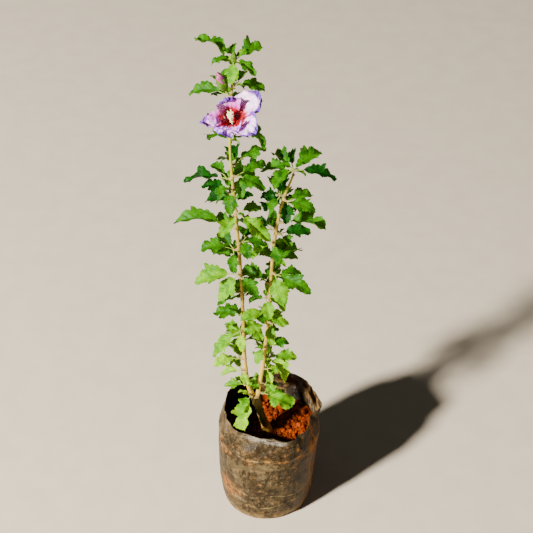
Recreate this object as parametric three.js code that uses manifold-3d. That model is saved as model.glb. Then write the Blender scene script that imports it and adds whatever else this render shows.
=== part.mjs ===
// Young hibiscus shrub with two stems, standing in a soft nursery bag of red soil.
// Millimetres, +Z up, origin at the middle of the bag's flat underside, seen from the front along +Y.

import * as THREE from 'three';
import { mergeVertices } from 'three/addons/utils/BufferGeometryUtils.js';
import Module from 'manifold-3d';

const wasm = await Module();
wasm.setup();

// Driving dimensions
const gap = 0.3;
const bagHeight = 156;
const bagWall = 1.2;
const bagFloor = 1.8;
const bagSides = 28;
const bagLean = [5, 2];
const leanPower = 1.8;
const creaseStart = 126;
const footBend = 2;
const floorEdge = 0.9;
const soilLevel = 115;
const soilTilt = 0.07;
const soilLump = 1.6;
const footSeat = { depth: 1.2, radius: 11, slope: 10 };
const forkHeight = 178;
const limbSides = 8;
const ringsPerStretch = 2;
const stalkThick = 1.5;
const smallStalkThick = 1.1;
const leafThick = 0.8;
const spurLength = 5;
const tipSpurLength = 9;
const spurRadii = [1.7, 1.2];
const spurSides = 5;

// Room that leaves keep from each other, and blades from limbs
const elbowRoom = 4.5;
const bladeRoom = 1.6;

// How leaves are held: ranges drawn from, and the bearing of the light that the blades turn to. A spur that
// isn't on the front also bears a leaf that hangs at the back: ranges of its bearing, reach and rise
const lightBearing = 230;
const rollToLight = 0.25;
const rollSpread = 0.5;
const archRange = [0.12, 0.28];
const foldRange = [0.2, 0.6];
const wideRange = [0.9, 1.14];
const broadFrom = 1.1;
const slimFrom = 38;
const slimPower = 0.5;
const bareRange = [0.17, 0.25];
const smallBareRange = [0.14, 0.22];
const frontSpurs = -0.5;
const backRanges = [[50, 130], [40, 56], [-34, -10]];
const smallTurnRange = [45, 80];
const smallRanges = [[15, 26], [12, 42]];
const smallStep = 50;
const goldenTurn = 137.5;
const spurShares = [0.55, 0.95];
const turnsAside = [0, 7, -7, 14, -14, 21, -21];
const liftsAside = [0, 8, -8, 16];

// Flower: throat, direction it faces, depth of its base, and stations along its axis from the base
const flowerThroat = [-37.2, -38, 628];
const flowerAxis = [-0.1, -0.42, 0.9];
const flowerDepth = 13;
const flowerStalkRadii = [1.5, 1.4, 1.3, 1.4, 1.6];
const calyxForm = { along: [0, 4, 12], radii: [2.2, 5, 5.4] };
const columnForm = { along: [8, 19, 22, 33], radii: [1.8, 1.5, 2.7, 1.8] };
const petalFoot = { along: 9, out: 2.4, slope: 0.25, hidden: 8, fold: 0.12 };
const stalkElbow = 2.5;

// Bud: its ends, and shares of the way between them
const budFoot = [-45, -8, 650.5];
const budTip = [-53, -9, 674];
const budForm = { along: [0, 0.14, 0.36, 0.58, 0.82, 1], radii: [1.8, 4.8, 6.1, 5.4, 3.9, 1.1] };
const budStalkRadii = [1.3, 1.1, 1.2];

// Small bud in the tuft at the left stem's tip: heights above the stem's end
const tipBud = { limb: 'left', along: [2, 6, 10, 14, 17.5], radii: [1.2, 2.9, 3.4, 2.8, 0.7], sides: 6 };

// Height and radius up the bag's side, and bearing, radius and height round its creased rim
const bagProfile = [
  [0, 55.5], [footBend, 58.5], [14, 61], [62, 65.5], [104, 66.8], [creaseStart, 66.4], [bagHeight, 62],
];
const bagRim = [
  [0, 67, 158], [22, 63, 159], [45, 64, 160], [76, 66, 163], [101, 57, 160], [148, 61, 157], [190, 60, 154],
  [217, 62, 152], [244, 55, 150], [270, 53, 149], [294, 62, 147], [318, 60, 148], [343, 54, 152],
];

// Limbs: the points that each runs through, and its radii from foot to tip
const limbs = {
  trunk: {
    points: [[0, 0, 114.2], [-2, 0, 126], [-8.5, 0, 148], [-15, 0, forkHeight]],
    radii: [8, 5.4, 4.8, 6.6],
  },
  left: {
    points: [
      [-18.4, 0, forkHeight + gap], [-23.5, -0.5, 197], [-28, -1.5, 245], [-29.4, -2, 330], [-33, -3, 425],
      [-38, -4, 507], [-41.2, -4.8, 574], [-38.4, -5.4, 646], [-35.2, -6, 681],
    ],
    radii: [3.1, 2.8, 2.45, 2.1, 1.95, 1.8, 1.55, 1.35, 1.1],
  },
  right: {
    points: [
      [-11.2, 0, forkHeight + gap], [-8, 0.5, 204], [-3, 1, 246], [3.8, 2.5, 326], [6.6, 3.6, 390],
      [11, 4.5, 443], [20, 5.3, 492], [31, 6, 527],
    ],
    radii: [2.9, 2.7, 2.5, 2.3, 2.1, 1.9, 1.6, 1.2],
  },
};

// Tufts of leaves: limb, height, side the spur stands on, then each large leaf's bearing, reach and rise (and
// some leaves' share of width and extra roll), and the number of small leaves. Bearings go round from +X (the
// right) by way of the back.
const tufts = [
  ['left', 183, 262, [[254, 50, -44, 1.25], [240, 31, -20, 1.2]], 0],
  ['left', 227, 215, [[184, 34, -15], [277, 22, -50]], 0],
  ['left', 246, 190, [[192, 42, -4]], 1],
  ['left', 268, 95, [[75, 42, 5], [128, 40, 12]], 0],
  ['left', 296, 235, [[202, 54, -35], [264, 30, -55], [172, 26, -28]], 0],
  ['left', 321, 262, [[312, 42, -28], [168, 37, -5]], 0],
  ['left', 344, 80, [[68, 38, 15], [122, 34, 10]], 0],
  ['left', 357, 190, [[196, 34, -22], [152, 34, 0]], 1],
  ['left', 388, 240, [[188, 58, -10], [214, 44, -42], [312, 36, -34]], 0],
  ['left', 405, 150, [[163, 34, 12], [118, 36, 10]], 0],
  ['left', 424, 190, [[186, 47, 5], [158, 34, 20], [250, 30, -46]], 0],
  ['left', 434, 20, [[37, 32, 15], [358, 32, 0]], 0],
  ['left', 457, 180, [[179, 77, 5, 0.8], [140, 34, 8]], 0],
  ['left', 482, 300, [[4, 32, 0], [332, 52, -35], [236, 36, -34]], 0],
  ['left', 492, 90, [[88, 42, 6]], 1],
  ['left', 506, 150, [[159, 40, 10], [122, 34, 18]], 0],
  ['left', 516, 262, [[256, 32, -42]], 0],
  ['left', 529, 180, [[175, 58, -5], [146, 32, 14]], 0],
  ['left', 533, 345, [[21, 46, 5], [350, 42, -12], [300, 30, -32]], 0],
  ['left', 547, 40, [[28, 48, 14], [84, 34, 12]], 0],
  ['left', 579, 95, [[132, 30, 8], [30, 26, 0]], 1],
  ['left', 613, 325, [[328, 54, -20, 0.65]], 0],
  ['left', 641, 140, [[162, 52, -4, 0.9], [112, 34, 2]], 0],
  ['left', 655, 20, [[8, 38, -12], [50, 30, 8]], 1],
  ['left', 681, 90, [
    [145, 54, 22, 0.75, 20], [29, 38, 20], [265, 22, -35], [336, 28, -8], [186, 26, 8], [104, 34, 10],
  ], 2],
  ['right', 184, 335, [[340, 47, -17, 1.2, 25], [30, 30, 4]], 0],
  ['right', 200, 340, [[318, 26, -6]], 0],
  ['right', 226, 345, [[346, 30, 2], [300, 24, -28]], 0],
  ['right', 246, 345, [[338, 44, -35], [359, 42, -5]], 0],
  ['right', 258, 60, [[18, 34, 8], [124, 30, 12]], 0],
  ['right', 266, 250, [[236, 28, -30]], 0],
  ['right', 288, 90, [[62, 40, 10], [112, 38, 6]], 0],
  ['right', 304, 320, [[6, 27, -5], [270, 30, -45]], 0],
  ['right', 322, 235, [[208, 40, -16], [318, 28, -20]], 0],
  ['right', 344, 200, [[186, 28, -15], [268, 30, -42]], 0],
  ['right', 352, 20, [[16, 32, 5]], 1],
  ['right', 365, 150, [[149, 45, 5], [82, 34, 10]], 0],
  ['right', 383, 315, [[326, 56, -10], [292, 44, -45], [352, 38, -5]], 0],
  ['right', 402, 25, [[5, 32, 8], [62, 38, 10]], 0],
  ['right', 432, 235, [[213, 36, -35], [288, 30, -44]], 0],
  ['right', 443, 345, [[0, 42, 0], [316, 26, -18]], 0],
  ['right', 447, 170, [[190, 31, -8], [150, 32, 8]], 0],
  ['right', 460, 345, [[351, 58, -5]], 1],
  ['right', 480, 95, [[80, 38, 8], [132, 34, 4]], 0],
  ['right', 493, 320, [[325, 42, -5], [357, 36, 2], [276, 30, -44]], 0],
  ['right', 497, 190, [[169, 45, 0], [228, 27, -40]], 0],
  ['right', 527, 90, [
    [40, 46, 22], [134, 40, 18], [357, 50, -8, 0.8], [160, 40, 4], [80, 38, 20], [212, 30, -18],
  ], 2],
  ['left', 203, 235, [[186, 31, -10], [325, 20, -5]], 0],
];

// Petals: turn about the flower's axis from the right, reach, rise and length across
const petalSizes = [
  [50, 43, 22, 0.66], [114, 28, 27, 0.95], [200, 36, 14, 0.55], [266, 26, 13, 1], [330, 38, 14, 0.8],
];

// Outlines, each row a station: place on the midrib, place of the edge point and half width, all as
// shares of the blade's length
const leafOutline = [
  [0.2, 0.22, 0.19], [0.46, 0.62, 0.41], [0.57, 0.6, 0.23], [0.8, 0.83, 0.2], [1, 1, 0],
];
const broadOutline = [
  [0.18, 0.16, 0.2], [0.46, 0.54, 0.41], [0.57, 0.62, 0.34], [0.84, 0.88, 0.29], [1, 1, 0],
];
const smallOutline = [[0.35, 0.38, 0.27], [0.7, 0.72, 0.19], [1, 1, 0]];
const petalOutline = [[0, 0, 0], [0.3, 0.3, 0.2], [0.66, 0.66, 0.42], [0.92, 0.88, 0.36], [1, 1, 0]];

const paint = (color, roughness) => new THREE.MeshStandardMaterial({ color, roughness, metalness: 0 });
const bagPlastic = paint(0x5a4d3a, 0.45);
const redSoil = paint(0xa8430f, 0.95);
const bark = paint(0xb98f4d, 0.8);
const foliage = paint(0x4c8a12, 0.6);
const petals = paint(0xc7b0e8, 0.6);
const budGreen = paint(0x7fa52a, 0.6);

const up = new THREE.Vector3(0, 0, 1);
const degrees = THREE.MathUtils.degToRad;
const between = ([low, high], share) => THREE.MathUtils.lerp(low, high, share);
const vector = (point) => new THREE.Vector3(...point);
const direction = (bearing, rise = 0) => new THREE.Vector3(
  Math.cos(degrees(bearing)) * Math.cos(degrees(rise)),
  Math.sin(degrees(bearing)) * Math.cos(degrees(rise)),
  Math.sin(degrees(rise)),
);

// Seeded numbers between 0 and 1, the same each time
function seededNumbers(seed) {
  let state = 7919 * (seed + 3);
  return () => {
    state = (state * 16807) % 2147483647;
    return state / 2147483647;
  };
}

function geometryOf(points, triangles) {
  const geometry = new THREE.BufferGeometry();
  geometry.setAttribute('position', new THREE.Float32BufferAttribute(points.flatMap((p) => p.toArray()), 3));
  geometry.setIndex(triangles.flat());
  return geometry;
}

// A round limb, twig or stalk through the points, closed at both ends; a level one has level rings and cuts
function tube(points, radii, sides, reference, level = false) {
  const rings = [];
  const triangles = [];
  const last = points.length - 1;
  points.forEach((point, i) => {
    const onward = points[Math.min(i + 1, last)].clone().sub(points[Math.max(i - 1, 0)]).normalize();
    const tangent = level ? up : onward;
    const side = reference.clone().addScaledVector(tangent, -reference.dot(tangent)).normalize();
    const normal = new THREE.Vector3().crossVectors(tangent, side);
    for (let k = 0; k < sides; k += 1) {
      const angle = (2 * Math.PI * k) / sides;
      rings.push(point.clone()
        .addScaledVector(side, radii[i] * Math.cos(angle))
        .addScaledVector(normal, radii[i] * Math.sin(angle)));
    }
  });
  for (let i = 0; i < last; i += 1) {
    for (let k = 0; k < sides; k += 1) {
      const next = (k + 1) % sides;
      const [a, b] = [i * sides + k, i * sides + next];
      triangles.push([a, b, b + sides], [a, b + sides, a + sides]);
    }
  }
  for (let k = 1; k < sides - 1; k += 1) {
    triangles.push([0, k + 1, k], [last * sides, last * sides + k, last * sides + k + 1]);
  }
  return geometryOf(rings, triangles);
}

// A bent leaf or petal follows three points: place t along it runs from 0 at the foot to 1 at the tip
function onMidrib(bend, t) {
  const point = bend.start.clone().multiplyScalar((1 - t) ** 2)
    .addScaledVector(bend.middle, 2 * t * (1 - t))
    .addScaledVector(bend.end, t * t);
  const tangent = bend.middle.clone().sub(bend.start).multiplyScalar(1 - t)
    .addScaledVector(bend.end.clone().sub(bend.middle), t)
    .normalize();
  const side = bend.side.clone().addScaledVector(tangent, -bend.side.dot(tangent)).normalize();
  return { point, side, normal: new THREE.Vector3().crossVectors(tangent, side) };
}

// A point of the blade: share of the way along it and the signed half width there, both sides folded up
function onBlade(bend, share, across) {
  const { point, side, normal } = onMidrib(bend, bend.bare + (1 - bend.bare) * share);
  return {
    point: point.addScaledVector(side, across * bend.length * Math.cos(bend.fold))
      .addScaledVector(normal, Math.abs(across) * bend.length * Math.sin(bend.fold)),
    normal,
  };
}

// Thin solid over rows of points that run from the left edge to the right edge, foot to tip
function thinSolid(rows) {
  const points = [];
  const triangles = [];
  const pairs = rows.map((row) => row.map(({ point, normal, thick }) => {
    points.push(point.clone().addScaledVector(normal, thick / 2));
    points.push(point.clone().addScaledVector(normal, -thick / 2));
    return points.length - 2;
  }));
  const addFace = (a, b, c) => triangles.push([a, b, c], [a + 1, c + 1, b + 1]);
  const addRim = (a, b) => triangles.push([a, b, b + 1], [a, b + 1, a + 1]);
  pairs.slice(1).forEach((next, index) => {
    const row = pairs[index];
    const [rowEnd, nextEnd] = [row.length - 1, next.length - 1];
    let [i, j] = [0, 0];
    while (i < rowEnd || j < nextEnd) {
      const stepNext = i === rowEnd || (j < nextEnd && (j + 1) * rowEnd <= (i + 1) * nextEnd);
      if (stepNext) {
        addFace(row[i], next[j + 1], next[j]);
        j += 1;
      } else {
        addFace(row[i], row[i + 1], next[j]);
        i += 1;
      }
    }
    addRim(row[0], next[0]);
    addRim(next.at(-1), row.at(-1));
  });
  if (pairs[0].length > 1) {
    addRim(pairs[0].at(-1), pairs[0][0]);
  }
  return geometryOf(points, triangles);
}

function bladeRows(bend, outline) {
  return outline.map(([middle, edge, width]) => {
    const centre = onBlade(bend, middle, 0);
    const scaled = width * bend.wide;
    const sides = [scaled, -scaled].map((across) => onBlade(bend, edge, across));
    const row = width === 0 ? [centre] : [sides[0], centre, sides[1]];
    return row.map((place) => ({ ...place, thick: leafThick }));
  });
}

// The leaf's stalk: rows of two, ending where the blade begins
function stalkRows(bend, thick) {
  return [0, 0.55, 1].map((share) => {
    const { point, side, normal } = onMidrib(bend, bend.bare * share);
    return [thick / 2, -thick / 2].map((across) => (
      { point: point.clone().addScaledVector(side, across), normal, thick }));
  });
}

const solid = (geometry) => {
  const bare = geometry.clone();
  bare.deleteAttribute('normal');
  bare.deleteAttribute('uv');
  const merged = mergeVertices(bare, 1e-4);
  return new wasm.Manifold(new wasm.Mesh({
    numProp: 3,
    vertProperties: new Float32Array(merged.attributes.position.array),
    triVerts: new Uint32Array(merged.index.array),
  }));
};

function joined(geometries) {
  const mesh = geometries.map(solid).reduce((whole, piece) => whole.add(piece)).getMesh();
  const geometry = new THREE.BufferGeometry();
  geometry.setAttribute('position', new THREE.Float32BufferAttribute(mesh.vertProperties, 3));
  geometry.setIndex([...mesh.triVerts]);
  return geometry;
}

// Limbs
function limbRoute(limb) {
  const curve = new THREE.CatmullRomCurve3(limb.points.map(vector), false, 'catmullrom', 0.5);
  const steps = (limb.points.length - 1) * ringsPerStretch;
  const points = [];
  const radii = [];
  for (let i = 0; i <= steps; i += 1) {
    const place = i / ringsPerStretch;
    const before = Math.min(Math.floor(place), limb.radii.length - 2);
    points.push(curve.getPoint(i / steps));
    radii.push(THREE.MathUtils.lerp(limb.radii[before], limb.radii[before + 1], place - before));
  }
  return { points, radii };
}

// Axis point and radius of a limb at a height, between the rings of its route
function limbAt(route, height) {
  const { points, radii } = route;
  let i = 0;
  while (i < points.length - 2 && points[i + 1].z < height) {
    i += 1;
  }
  const share = THREE.MathUtils.clamp((height - points[i].z) / (points[i + 1].z - points[i].z), 0, 1);
  return {
    point: points[i].clone().lerp(points[i + 1], share),
    radius: THREE.MathUtils.lerp(radii[i], radii[i + 1], share),
    tangent: points[i + 1].clone().sub(points[i]).normalize(),
  };
}

const routes = Object.fromEntries(Object.entries(limbs).map(([name, limb]) => [name, limbRoute(limb)]));

// Where a spur or stalk springs from a stem's side, or from its tip: square to it and clear of it
function springFrom(stem, height, bearing) {
  const route = routes[stem];
  const { point: knot, radius, tangent } = limbAt(route, height);
  if (height >= route.points.at(-1).z) {
    return { knot, radius, way: up.clone(), root: knot.clone().addScaledVector(up, gap), atTip: true };
  }
  const outward = direction(bearing);
  const way = outward.addScaledVector(tangent, -outward.dot(tangent)).normalize();
  return { knot, radius, way, root: knot.clone().addScaledVector(way, radius + gap), atTip: false };
}

// The places taken by leaves so far, in cells as wide as the room that leaves keep from each other
const taken = new Map();
const cellOf = (point, x = 0, y = 0, z = 0) => [
  Math.floor(point.x / elbowRoom) + x,
  Math.floor(point.y / elbowRoom) + y,
  Math.floor(point.z / elbowRoom) + z,
].join();

function nearTaken(point, tuft) {
  for (let x = -1; x <= 1; x += 1) {
    for (let y = -1; y <= 1; y += 1) {
      for (let z = -1; z <= 1; z += 1) {
        for (const other of taken.get(cellOf(point, x, y, z)) ?? []) {
          const limit = other.tuft === tuft ? elbowRoom / 2 : elbowRoom;
          if (other.point.distanceTo(point) < limit && (other.tuft !== tuft || other.blade)) {
            return true;
          }
        }
      }
    }
  }
  return false;
}

function nearLimb(point, room) {
  return Object.values(routes).some((route) => {
    const ends = [route.points[0].z, route.points.at(-1).z];
    if (point.z < ends[0] - room || point.z > ends[1] + room) {
      return false;
    }
    const { point: axis, radius } = limbAt(route, point.z);
    return Math.hypot(point.x - axis.x, point.y - axis.y) < radius + room;
  });
}

// Test points over a leaf: its stalk, then rows across its blade
const testWidth = 0.38;
const stalkTests = 4;
const bladeTests = 12;

function leafPlaces(leaf) {
  const places = [];
  for (let i = 1; i <= stalkTests; i += 1) {
    places.push({ point: onMidrib(leaf, (leaf.bare * i) / stalkTests).point, blade: false });
  }
  for (let i = 2; i <= bladeTests; i += 1) {
    const share = i / bladeTests;
    const width = leaf.wide * testWidth * Math.sin(Math.PI * (0.9 * share + 0.05));
    for (let k = -3; k <= 3; k += 1) {
      places.push({ point: onBlade(leaf, share, (width * k) / 3).point, blade: true });
    }
  }
  return places;
}

// A leaf from a point of its spur to a tip seen from the limb's axis
function bendLeaf(start, knot, bearing, reach, rise, habit) {
  const end = knot.clone().addScaledVector(direction(bearing, rise), reach);
  const chord = end.clone().sub(start);
  const length = chord.length();
  const middle = start.clone().addScaledVector(chord, 0.5).addScaledVector(up, habit.arch * length);
  const side = direction(bearing + 90).applyAxisAngle(chord.normalize(), habit.roll);
  return {
    start, middle, end, side,
    bare: habit.bare,
    length: length * (1 - habit.bare),
    fold: habit.fold,
    wide: habit.wide,
  };
}

// How one leaf is held, drawn from the seed; long leaves are slimmer
function drawHabit(draw, bearing, reach, small) {
  const toLight = direction(bearing + 90).dot(direction(lightBearing));
  const slim = Math.min(slimFrom / reach, 1) ** slimPower;
  return {
    arch: between(archRange, draw()),
    roll: rollSpread * (draw() - 0.5) - rollToLight * toLight,
    fold: between(foldRange, draw()),
    wide: between(wideRange, draw()) * slim,
    bare: between(small ? smallBareRange : bareRange, draw()),
  };
}

// The leaf is turned aside in small steps until it touches no limb and no other leaf, or is left out
function placeLeaf(start, knot, wish, tuft) {
  for (const lift of liftsAside) {
    for (const turn of turnsAside) {
      const leaf = bendLeaf(start, knot, wish.bearing + turn, wish.reach, wish.rise + lift, wish.habit);
      const places = leafPlaces(leaf);
      const clear = places.every(({ point, blade }) => (
        !nearLimb(point, blade ? bladeRoom : stalkThick / 2 + gap) && !nearTaken(point, tuft)));
      if (clear) {
        takePlaces(places, tuft);
        return leaf;
      }
    }
  }
  return null;
}

// Flower: a stalk, a calyx, five petals round a column
const flower = { throat: vector(flowerThroat), axis: vector(flowerAxis).normalize() };
flower.base = flower.throat.clone().addScaledVector(flower.axis, -flowerDepth);
flower.rightward = new THREE.Vector3().crossVectors(up, flower.axis).normalize();
flower.petals = petalSizes.map(([turn, reach, rise, wide]) => {
  const { throat, axis, base, rightward } = flower;
  const outward = rightward.clone().applyAxisAngle(axis, degrees(turn));
  const top = throat.clone().addScaledVector(axis, rise);
  return {
    start: base.clone().addScaledVector(axis, petalFoot.along).addScaledVector(outward, petalFoot.out),
    middle: top.clone().addScaledVector(outward, petalFoot.slope * reach),
    end: top.clone().addScaledVector(outward, reach),
    side: new THREE.Vector3().crossVectors(axis, outward),
    bare: 0,
    length: reach + petalFoot.hidden,
    fold: petalFoot.fold,
    wide,
  };
});

function flowerSolid() {
  const { axis, base, rightward } = flower;
  const { root, way } = springFrom('left', 588, 276);
  const onAxis = (along) => base.clone().addScaledVector(axis, along);
  const elbow = root.clone().addScaledVector(way, stalkElbow);
  return joined([
    tube([root, elbow, root.clone().lerp(base, 0.6), onAxis(-6), onAxis(2)], flowerStalkRadii, 5, rightward),
    tube(calyxForm.along.map(onAxis), calyxForm.radii, 7, rightward),
    tube(columnForm.along.map(onAxis), columnForm.radii, 5, rightward),
    ...flower.petals.map((petal) => thinSolid(bladeRows(petal, petalOutline))),
  ]);
}

// Bud: a stalk, a swelling cup and the rolled petals' tip
const onBud = (share) => vector(budFoot).lerp(vector(budTip), share);

function budSolid() {
  const { root, way } = springFrom('left', 645, 215);
  const across = new THREE.Vector3(0, 1, 0);
  return joined([
    tube([root, root.clone().addScaledVector(way, stalkElbow), onBud(0.06)], budStalkRadii, 5, across),
    tube(budForm.along.map(onBud), budForm.radii, 8, across),
  ]);
}

// Leaves keep off the flower and the bud too
const takePlaces = (places, tuft) => places.forEach((place) => {
  const cell = cellOf(place.point);
  taken.set(cell, [...(taken.get(cell) ?? []), { ...place, tuft }]);
});
flower.petals.forEach((petal) => takePlaces(leafPlaces(petal), 'flower'));
budForm.along.forEach((share, i) => {
  for (let bearing = 0; bearing < 360; bearing += 45) {
    const outward = direction(bearing).multiplyScalar(budForm.radii[i]);
    takePlaces([{ point: onBud(share).add(outward), blade: true }], 'bud');
  }
});

// Spurs first, then every large leaf, then the small ones where room is left
const grown = tufts.map(([limb, height, out, large, small], index) => {
  const { knot, radius, way, root, atTip } = springFrom(limb, height, out);
  const length = atTip ? tipSpurLength : spurLength;
  const draw = seededNumbers(index);
  const wishes = [];
  const addWish = (isSmall, bearing, reach, rise, width = 1, roll = 0) => {
    const habit = drawHabit(draw, bearing, reach, isSmall);
    habit.wide *= width;
    habit.roll += degrees(roll);
    wishes.push({ bearing, reach, rise, small: isSmall, broad: width >= broadFrom, habit });
  };
  large.forEach((row) => addWish(false, ...row));
  if (!atTip && way.y > frontSpurs) {
    addWish(false, ...backRanges.map((range) => between(range, draw())));
  }
  for (let k = 0; k < small; k += 1) {
    const turn = between(smallTurnRange, draw());
    const towardBack = Math.sin(degrees(out + turn)) - Math.sin(degrees(out - turn)) > 1e-6 ? turn : -turn;
    const bearing = out + towardBack + k * (atTip ? goldenTurn : smallStep);
    addWish(true, bearing, ...smallRanges.map((range) => between(range, draw())));
  }
  return { limb, index, knot, root, way, length, radius, atTip, wishes, leaves: [] };
});

for (const small of [false, true]) {
  for (const tuft of grown) {
    tuft.wishes.forEach((wish, i) => {
      if (wish.small === small) {
        const share = between(spurShares, i / Math.max(tuft.wishes.length - 1, 1));
        const start = tuft.root.clone().addScaledVector(tuft.way, tuft.length * share);
        const leaf = placeLeaf(start, tuft.knot, wish, tuft.index);
        if (leaf) {
          tuft.leaves.push({ ...leaf, small, broad: wish.broad });
        }
      }
    });
  }
}

const leafSolid = (leaf) => {
  const lobed = leaf.broad ? broadOutline : leafOutline;
  return thinSolid([
    ...stalkRows(leaf, leaf.small ? smallStalkThick : stalkThick),
    ...bladeRows(leaf, leaf.small ? smallOutline : lobed),
  ]);
};

function tuftSolid(tuft) {
  const spur = [tuft.root, tuft.root.clone().addScaledVector(tuft.way, tuft.length)];
  const across = direction(tufts[tuft.index][2] + 90);
  const radii = [Math.min(tuft.radius, spurRadii[0]), spurRadii[1]];
  const solids = [tube(spur, radii, spurSides, across), ...tuft.leaves.map(leafSolid)];
  if (tuft.atTip && tuft.limb === tipBud.limb) {
    const stations = tipBud.along.map((along) => tuft.root.clone().addScaledVector(tuft.way, along));
    solids.push(tube(stations, tipBud.radii, tipBud.sides, across));
  }
  return joined(solids);
}

// Bag and soil share one leaning, creased outline: straight up from each height of the profile to the next
function bagOutline(angle, height, inset) {
  const [rimRadius, rimHeight] = rimAt(angle);
  const heights = bagProfile.map(([z]) => (z < bagHeight ? z : rimHeight));
  const i = Math.max(heights.findLastIndex((z, index) => z <= height && index < heights.length - 1), 0);
  const [low, high] = [bagProfile[i], bagProfile[i + 1]].map(([z, side]) => {
    const creased = THREE.MathUtils.smoothstep(z, creaseStart, bagHeight);
    const radius = between([side, rimRadius], creased) - inset;
    const lean = (z / bagHeight) ** leanPower;
    return [bagLean[0] * lean + radius * Math.cos(angle), bagLean[1] * lean + radius * Math.sin(angle)];
  });
  const share = (height - heights[i]) / (heights[i + 1] - heights[i]);
  return low.map((value, k) => THREE.MathUtils.lerp(value, high[k], share));
}

// Radius and height of the rim at an angle, eased from each of its creases to the next
function rimAt(angle) {
  const bearing = (THREE.MathUtils.radToDeg(angle) + 360) % 360;
  const index = bagRim.findLastIndex(([start]) => start <= bearing);
  const [start, ...from] = bagRim[index];
  const [end, ...onto] = bagRim[(index + 1) % bagRim.length];
  const share = THREE.MathUtils.smoothstep((bearing - start) / ((end - start + 360) % 360), 0, 1);
  return from.map((value, k) => THREE.MathUtils.lerp(value, onto[k], share));
}

// A lathed profile of inset and height, whose rings are then set on the bag's outline
const wallHeights = bagProfile.map(([z]) => z).filter((z) => z > footBend && z < bagHeight);

function lathedInBag(profile, shapeHeight) {
  const lathe = new THREE.LatheGeometry(profile.map(([share, , z]) => new THREE.Vector2(share, z)), bagSides);
  lathe.rotateX(Math.PI / 2);
  const { position } = lathe.attributes;
  for (let i = 0; i < position.count; i += 1) {
    const [share, inset] = profile[i % profile.length];
    const angle = Math.atan2(position.getY(i), position.getX(i));
    const z = shapeHeight(profile[i % profile.length][2], angle, share);
    const [x, y] = bagOutline(angle, z, inset);
    position.setXYZ(i, x * share, y * share, z);
  }
  return lathe;
}

// Splits the inner wall's faces along the same diagonals as the outer wall's, so that the film keeps its
// thickness where it is creased
function turnDiagonals(lathe, rows, firstInner) {
  const corners = [...lathe.index.array];
  for (let k = 0; k < corners.length; k += 6) {
    if ((k / 6) % (rows - 1) >= firstInner) {
      const [a, b, d, c] = corners.slice(k, k + 4);
      corners.splice(k, 6, a, b, c, a, c, d);
    }
  }
  lathe.setIndex(corners);
  return lathe;
}

function growBag() {
  const outside = bagProfile.map(([z]) => [1, 0, z]);
  const inside = wallHeights.toReversed().map((z) => [1, bagWall, z]);
  const profile = [
    [0, 0, 0],
    ...outside,
    [1, bagWall, bagHeight],
    ...inside,
    [floorEdge, bagWall, bagFloor],
    [0, 0, bagFloor],
  ];
  const bag = lathedInBag(profile, (z, angle) => (z < bagHeight ? z : rimAt(angle)[1]));
  return turnDiagonals(bag, profile.length, outside.length + 1);
}

// Rings of the soil's top as shares of its width, and its lumps, flattened where the trunk stands
const soilRings = [1, 0.82, 0.64, 0.46, 0.3, 0.17, 0];

function soilTop(x, y) {
  const { depth, radius, slope } = footSeat;
  const seat = THREE.MathUtils.smoothstep(Math.hypot(x, y), radius, radius + slope);
  const lumps = Math.sin(x / 6.1 + 0.4) * Math.cos(y / 5.3) + 0.7 * Math.sin(x / 3.4 - y / 4.2 + 1);
  return soilLevel - depth + seat * (depth + soilTilt * x + soilLump * lumps);
}

function soilBody() {
  const inset = bagWall + gap;
  const floor = bagFloor + gap;
  const wall = wallHeights.filter((z) => z < soilLevel);
  const profile = [
    [0, 0, floor],
    [floorEdge, inset, floor],
    ...wall.map((z) => [1, inset, z]),
    ...soilRings.map((share) => [share, inset, soilLevel]),
  ];
  return lathedInBag(profile, (z, angle, share) => {
    const [x, y] = bagOutline(angle, soilLevel, inset);
    return z < soilLevel ? z : soilTop(x * share, y * share);
  });
}

function placeMesh(name, geometry, material) {
  const mesh = new THREE.Mesh(geometry, material);
  mesh.name = name;
  return mesh;
}

const shrub = new THREE.Group();
shrub.add(placeMesh('grow_bag', growBag(), bagPlastic));
shrub.add(placeMesh('soil', soilBody(), redSoil));
for (const [name, title] of [['trunk', 'trunk'], ['left', 'left_stem'], ['right', 'right_stem']]) {
  const { points, radii } = routes[name];
  shrub.add(placeMesh(title, tube(points, radii, limbSides, new THREE.Vector3(1, 0, 0), true), bark));
}
for (const limb of ['left', 'right']) {
  grown.filter((tuft) => tuft.limb === limb).forEach((tuft, i) => {
    shrub.add(placeMesh(`${limb}_leaves_${String(i + 1).padStart(2, '0')}`, tuftSolid(tuft), foliage));
  });
}
shrub.add(placeMesh('flower', flowerSolid(), petals));
shrub.add(placeMesh('bud', budSolid(), budGreen));

export default shrub;
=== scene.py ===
# Potted hibiscus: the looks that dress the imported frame
import math
from functools import partialmethod

import bpy
import numpy as np
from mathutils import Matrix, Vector, noise


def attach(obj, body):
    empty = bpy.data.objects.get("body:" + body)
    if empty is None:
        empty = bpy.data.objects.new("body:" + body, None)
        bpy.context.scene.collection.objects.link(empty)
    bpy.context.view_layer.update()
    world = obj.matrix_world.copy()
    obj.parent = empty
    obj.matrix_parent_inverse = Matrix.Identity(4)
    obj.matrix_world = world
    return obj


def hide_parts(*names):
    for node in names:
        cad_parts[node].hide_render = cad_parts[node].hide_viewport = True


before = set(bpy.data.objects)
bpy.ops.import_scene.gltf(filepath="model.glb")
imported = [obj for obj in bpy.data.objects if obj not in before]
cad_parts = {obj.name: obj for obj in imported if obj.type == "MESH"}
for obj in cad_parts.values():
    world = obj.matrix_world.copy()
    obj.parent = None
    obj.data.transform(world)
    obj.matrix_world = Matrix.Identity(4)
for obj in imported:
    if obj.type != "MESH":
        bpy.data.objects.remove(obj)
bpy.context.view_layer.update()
mm = 0.001
up = np.array([0.0, 0.0, 1.0])
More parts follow.
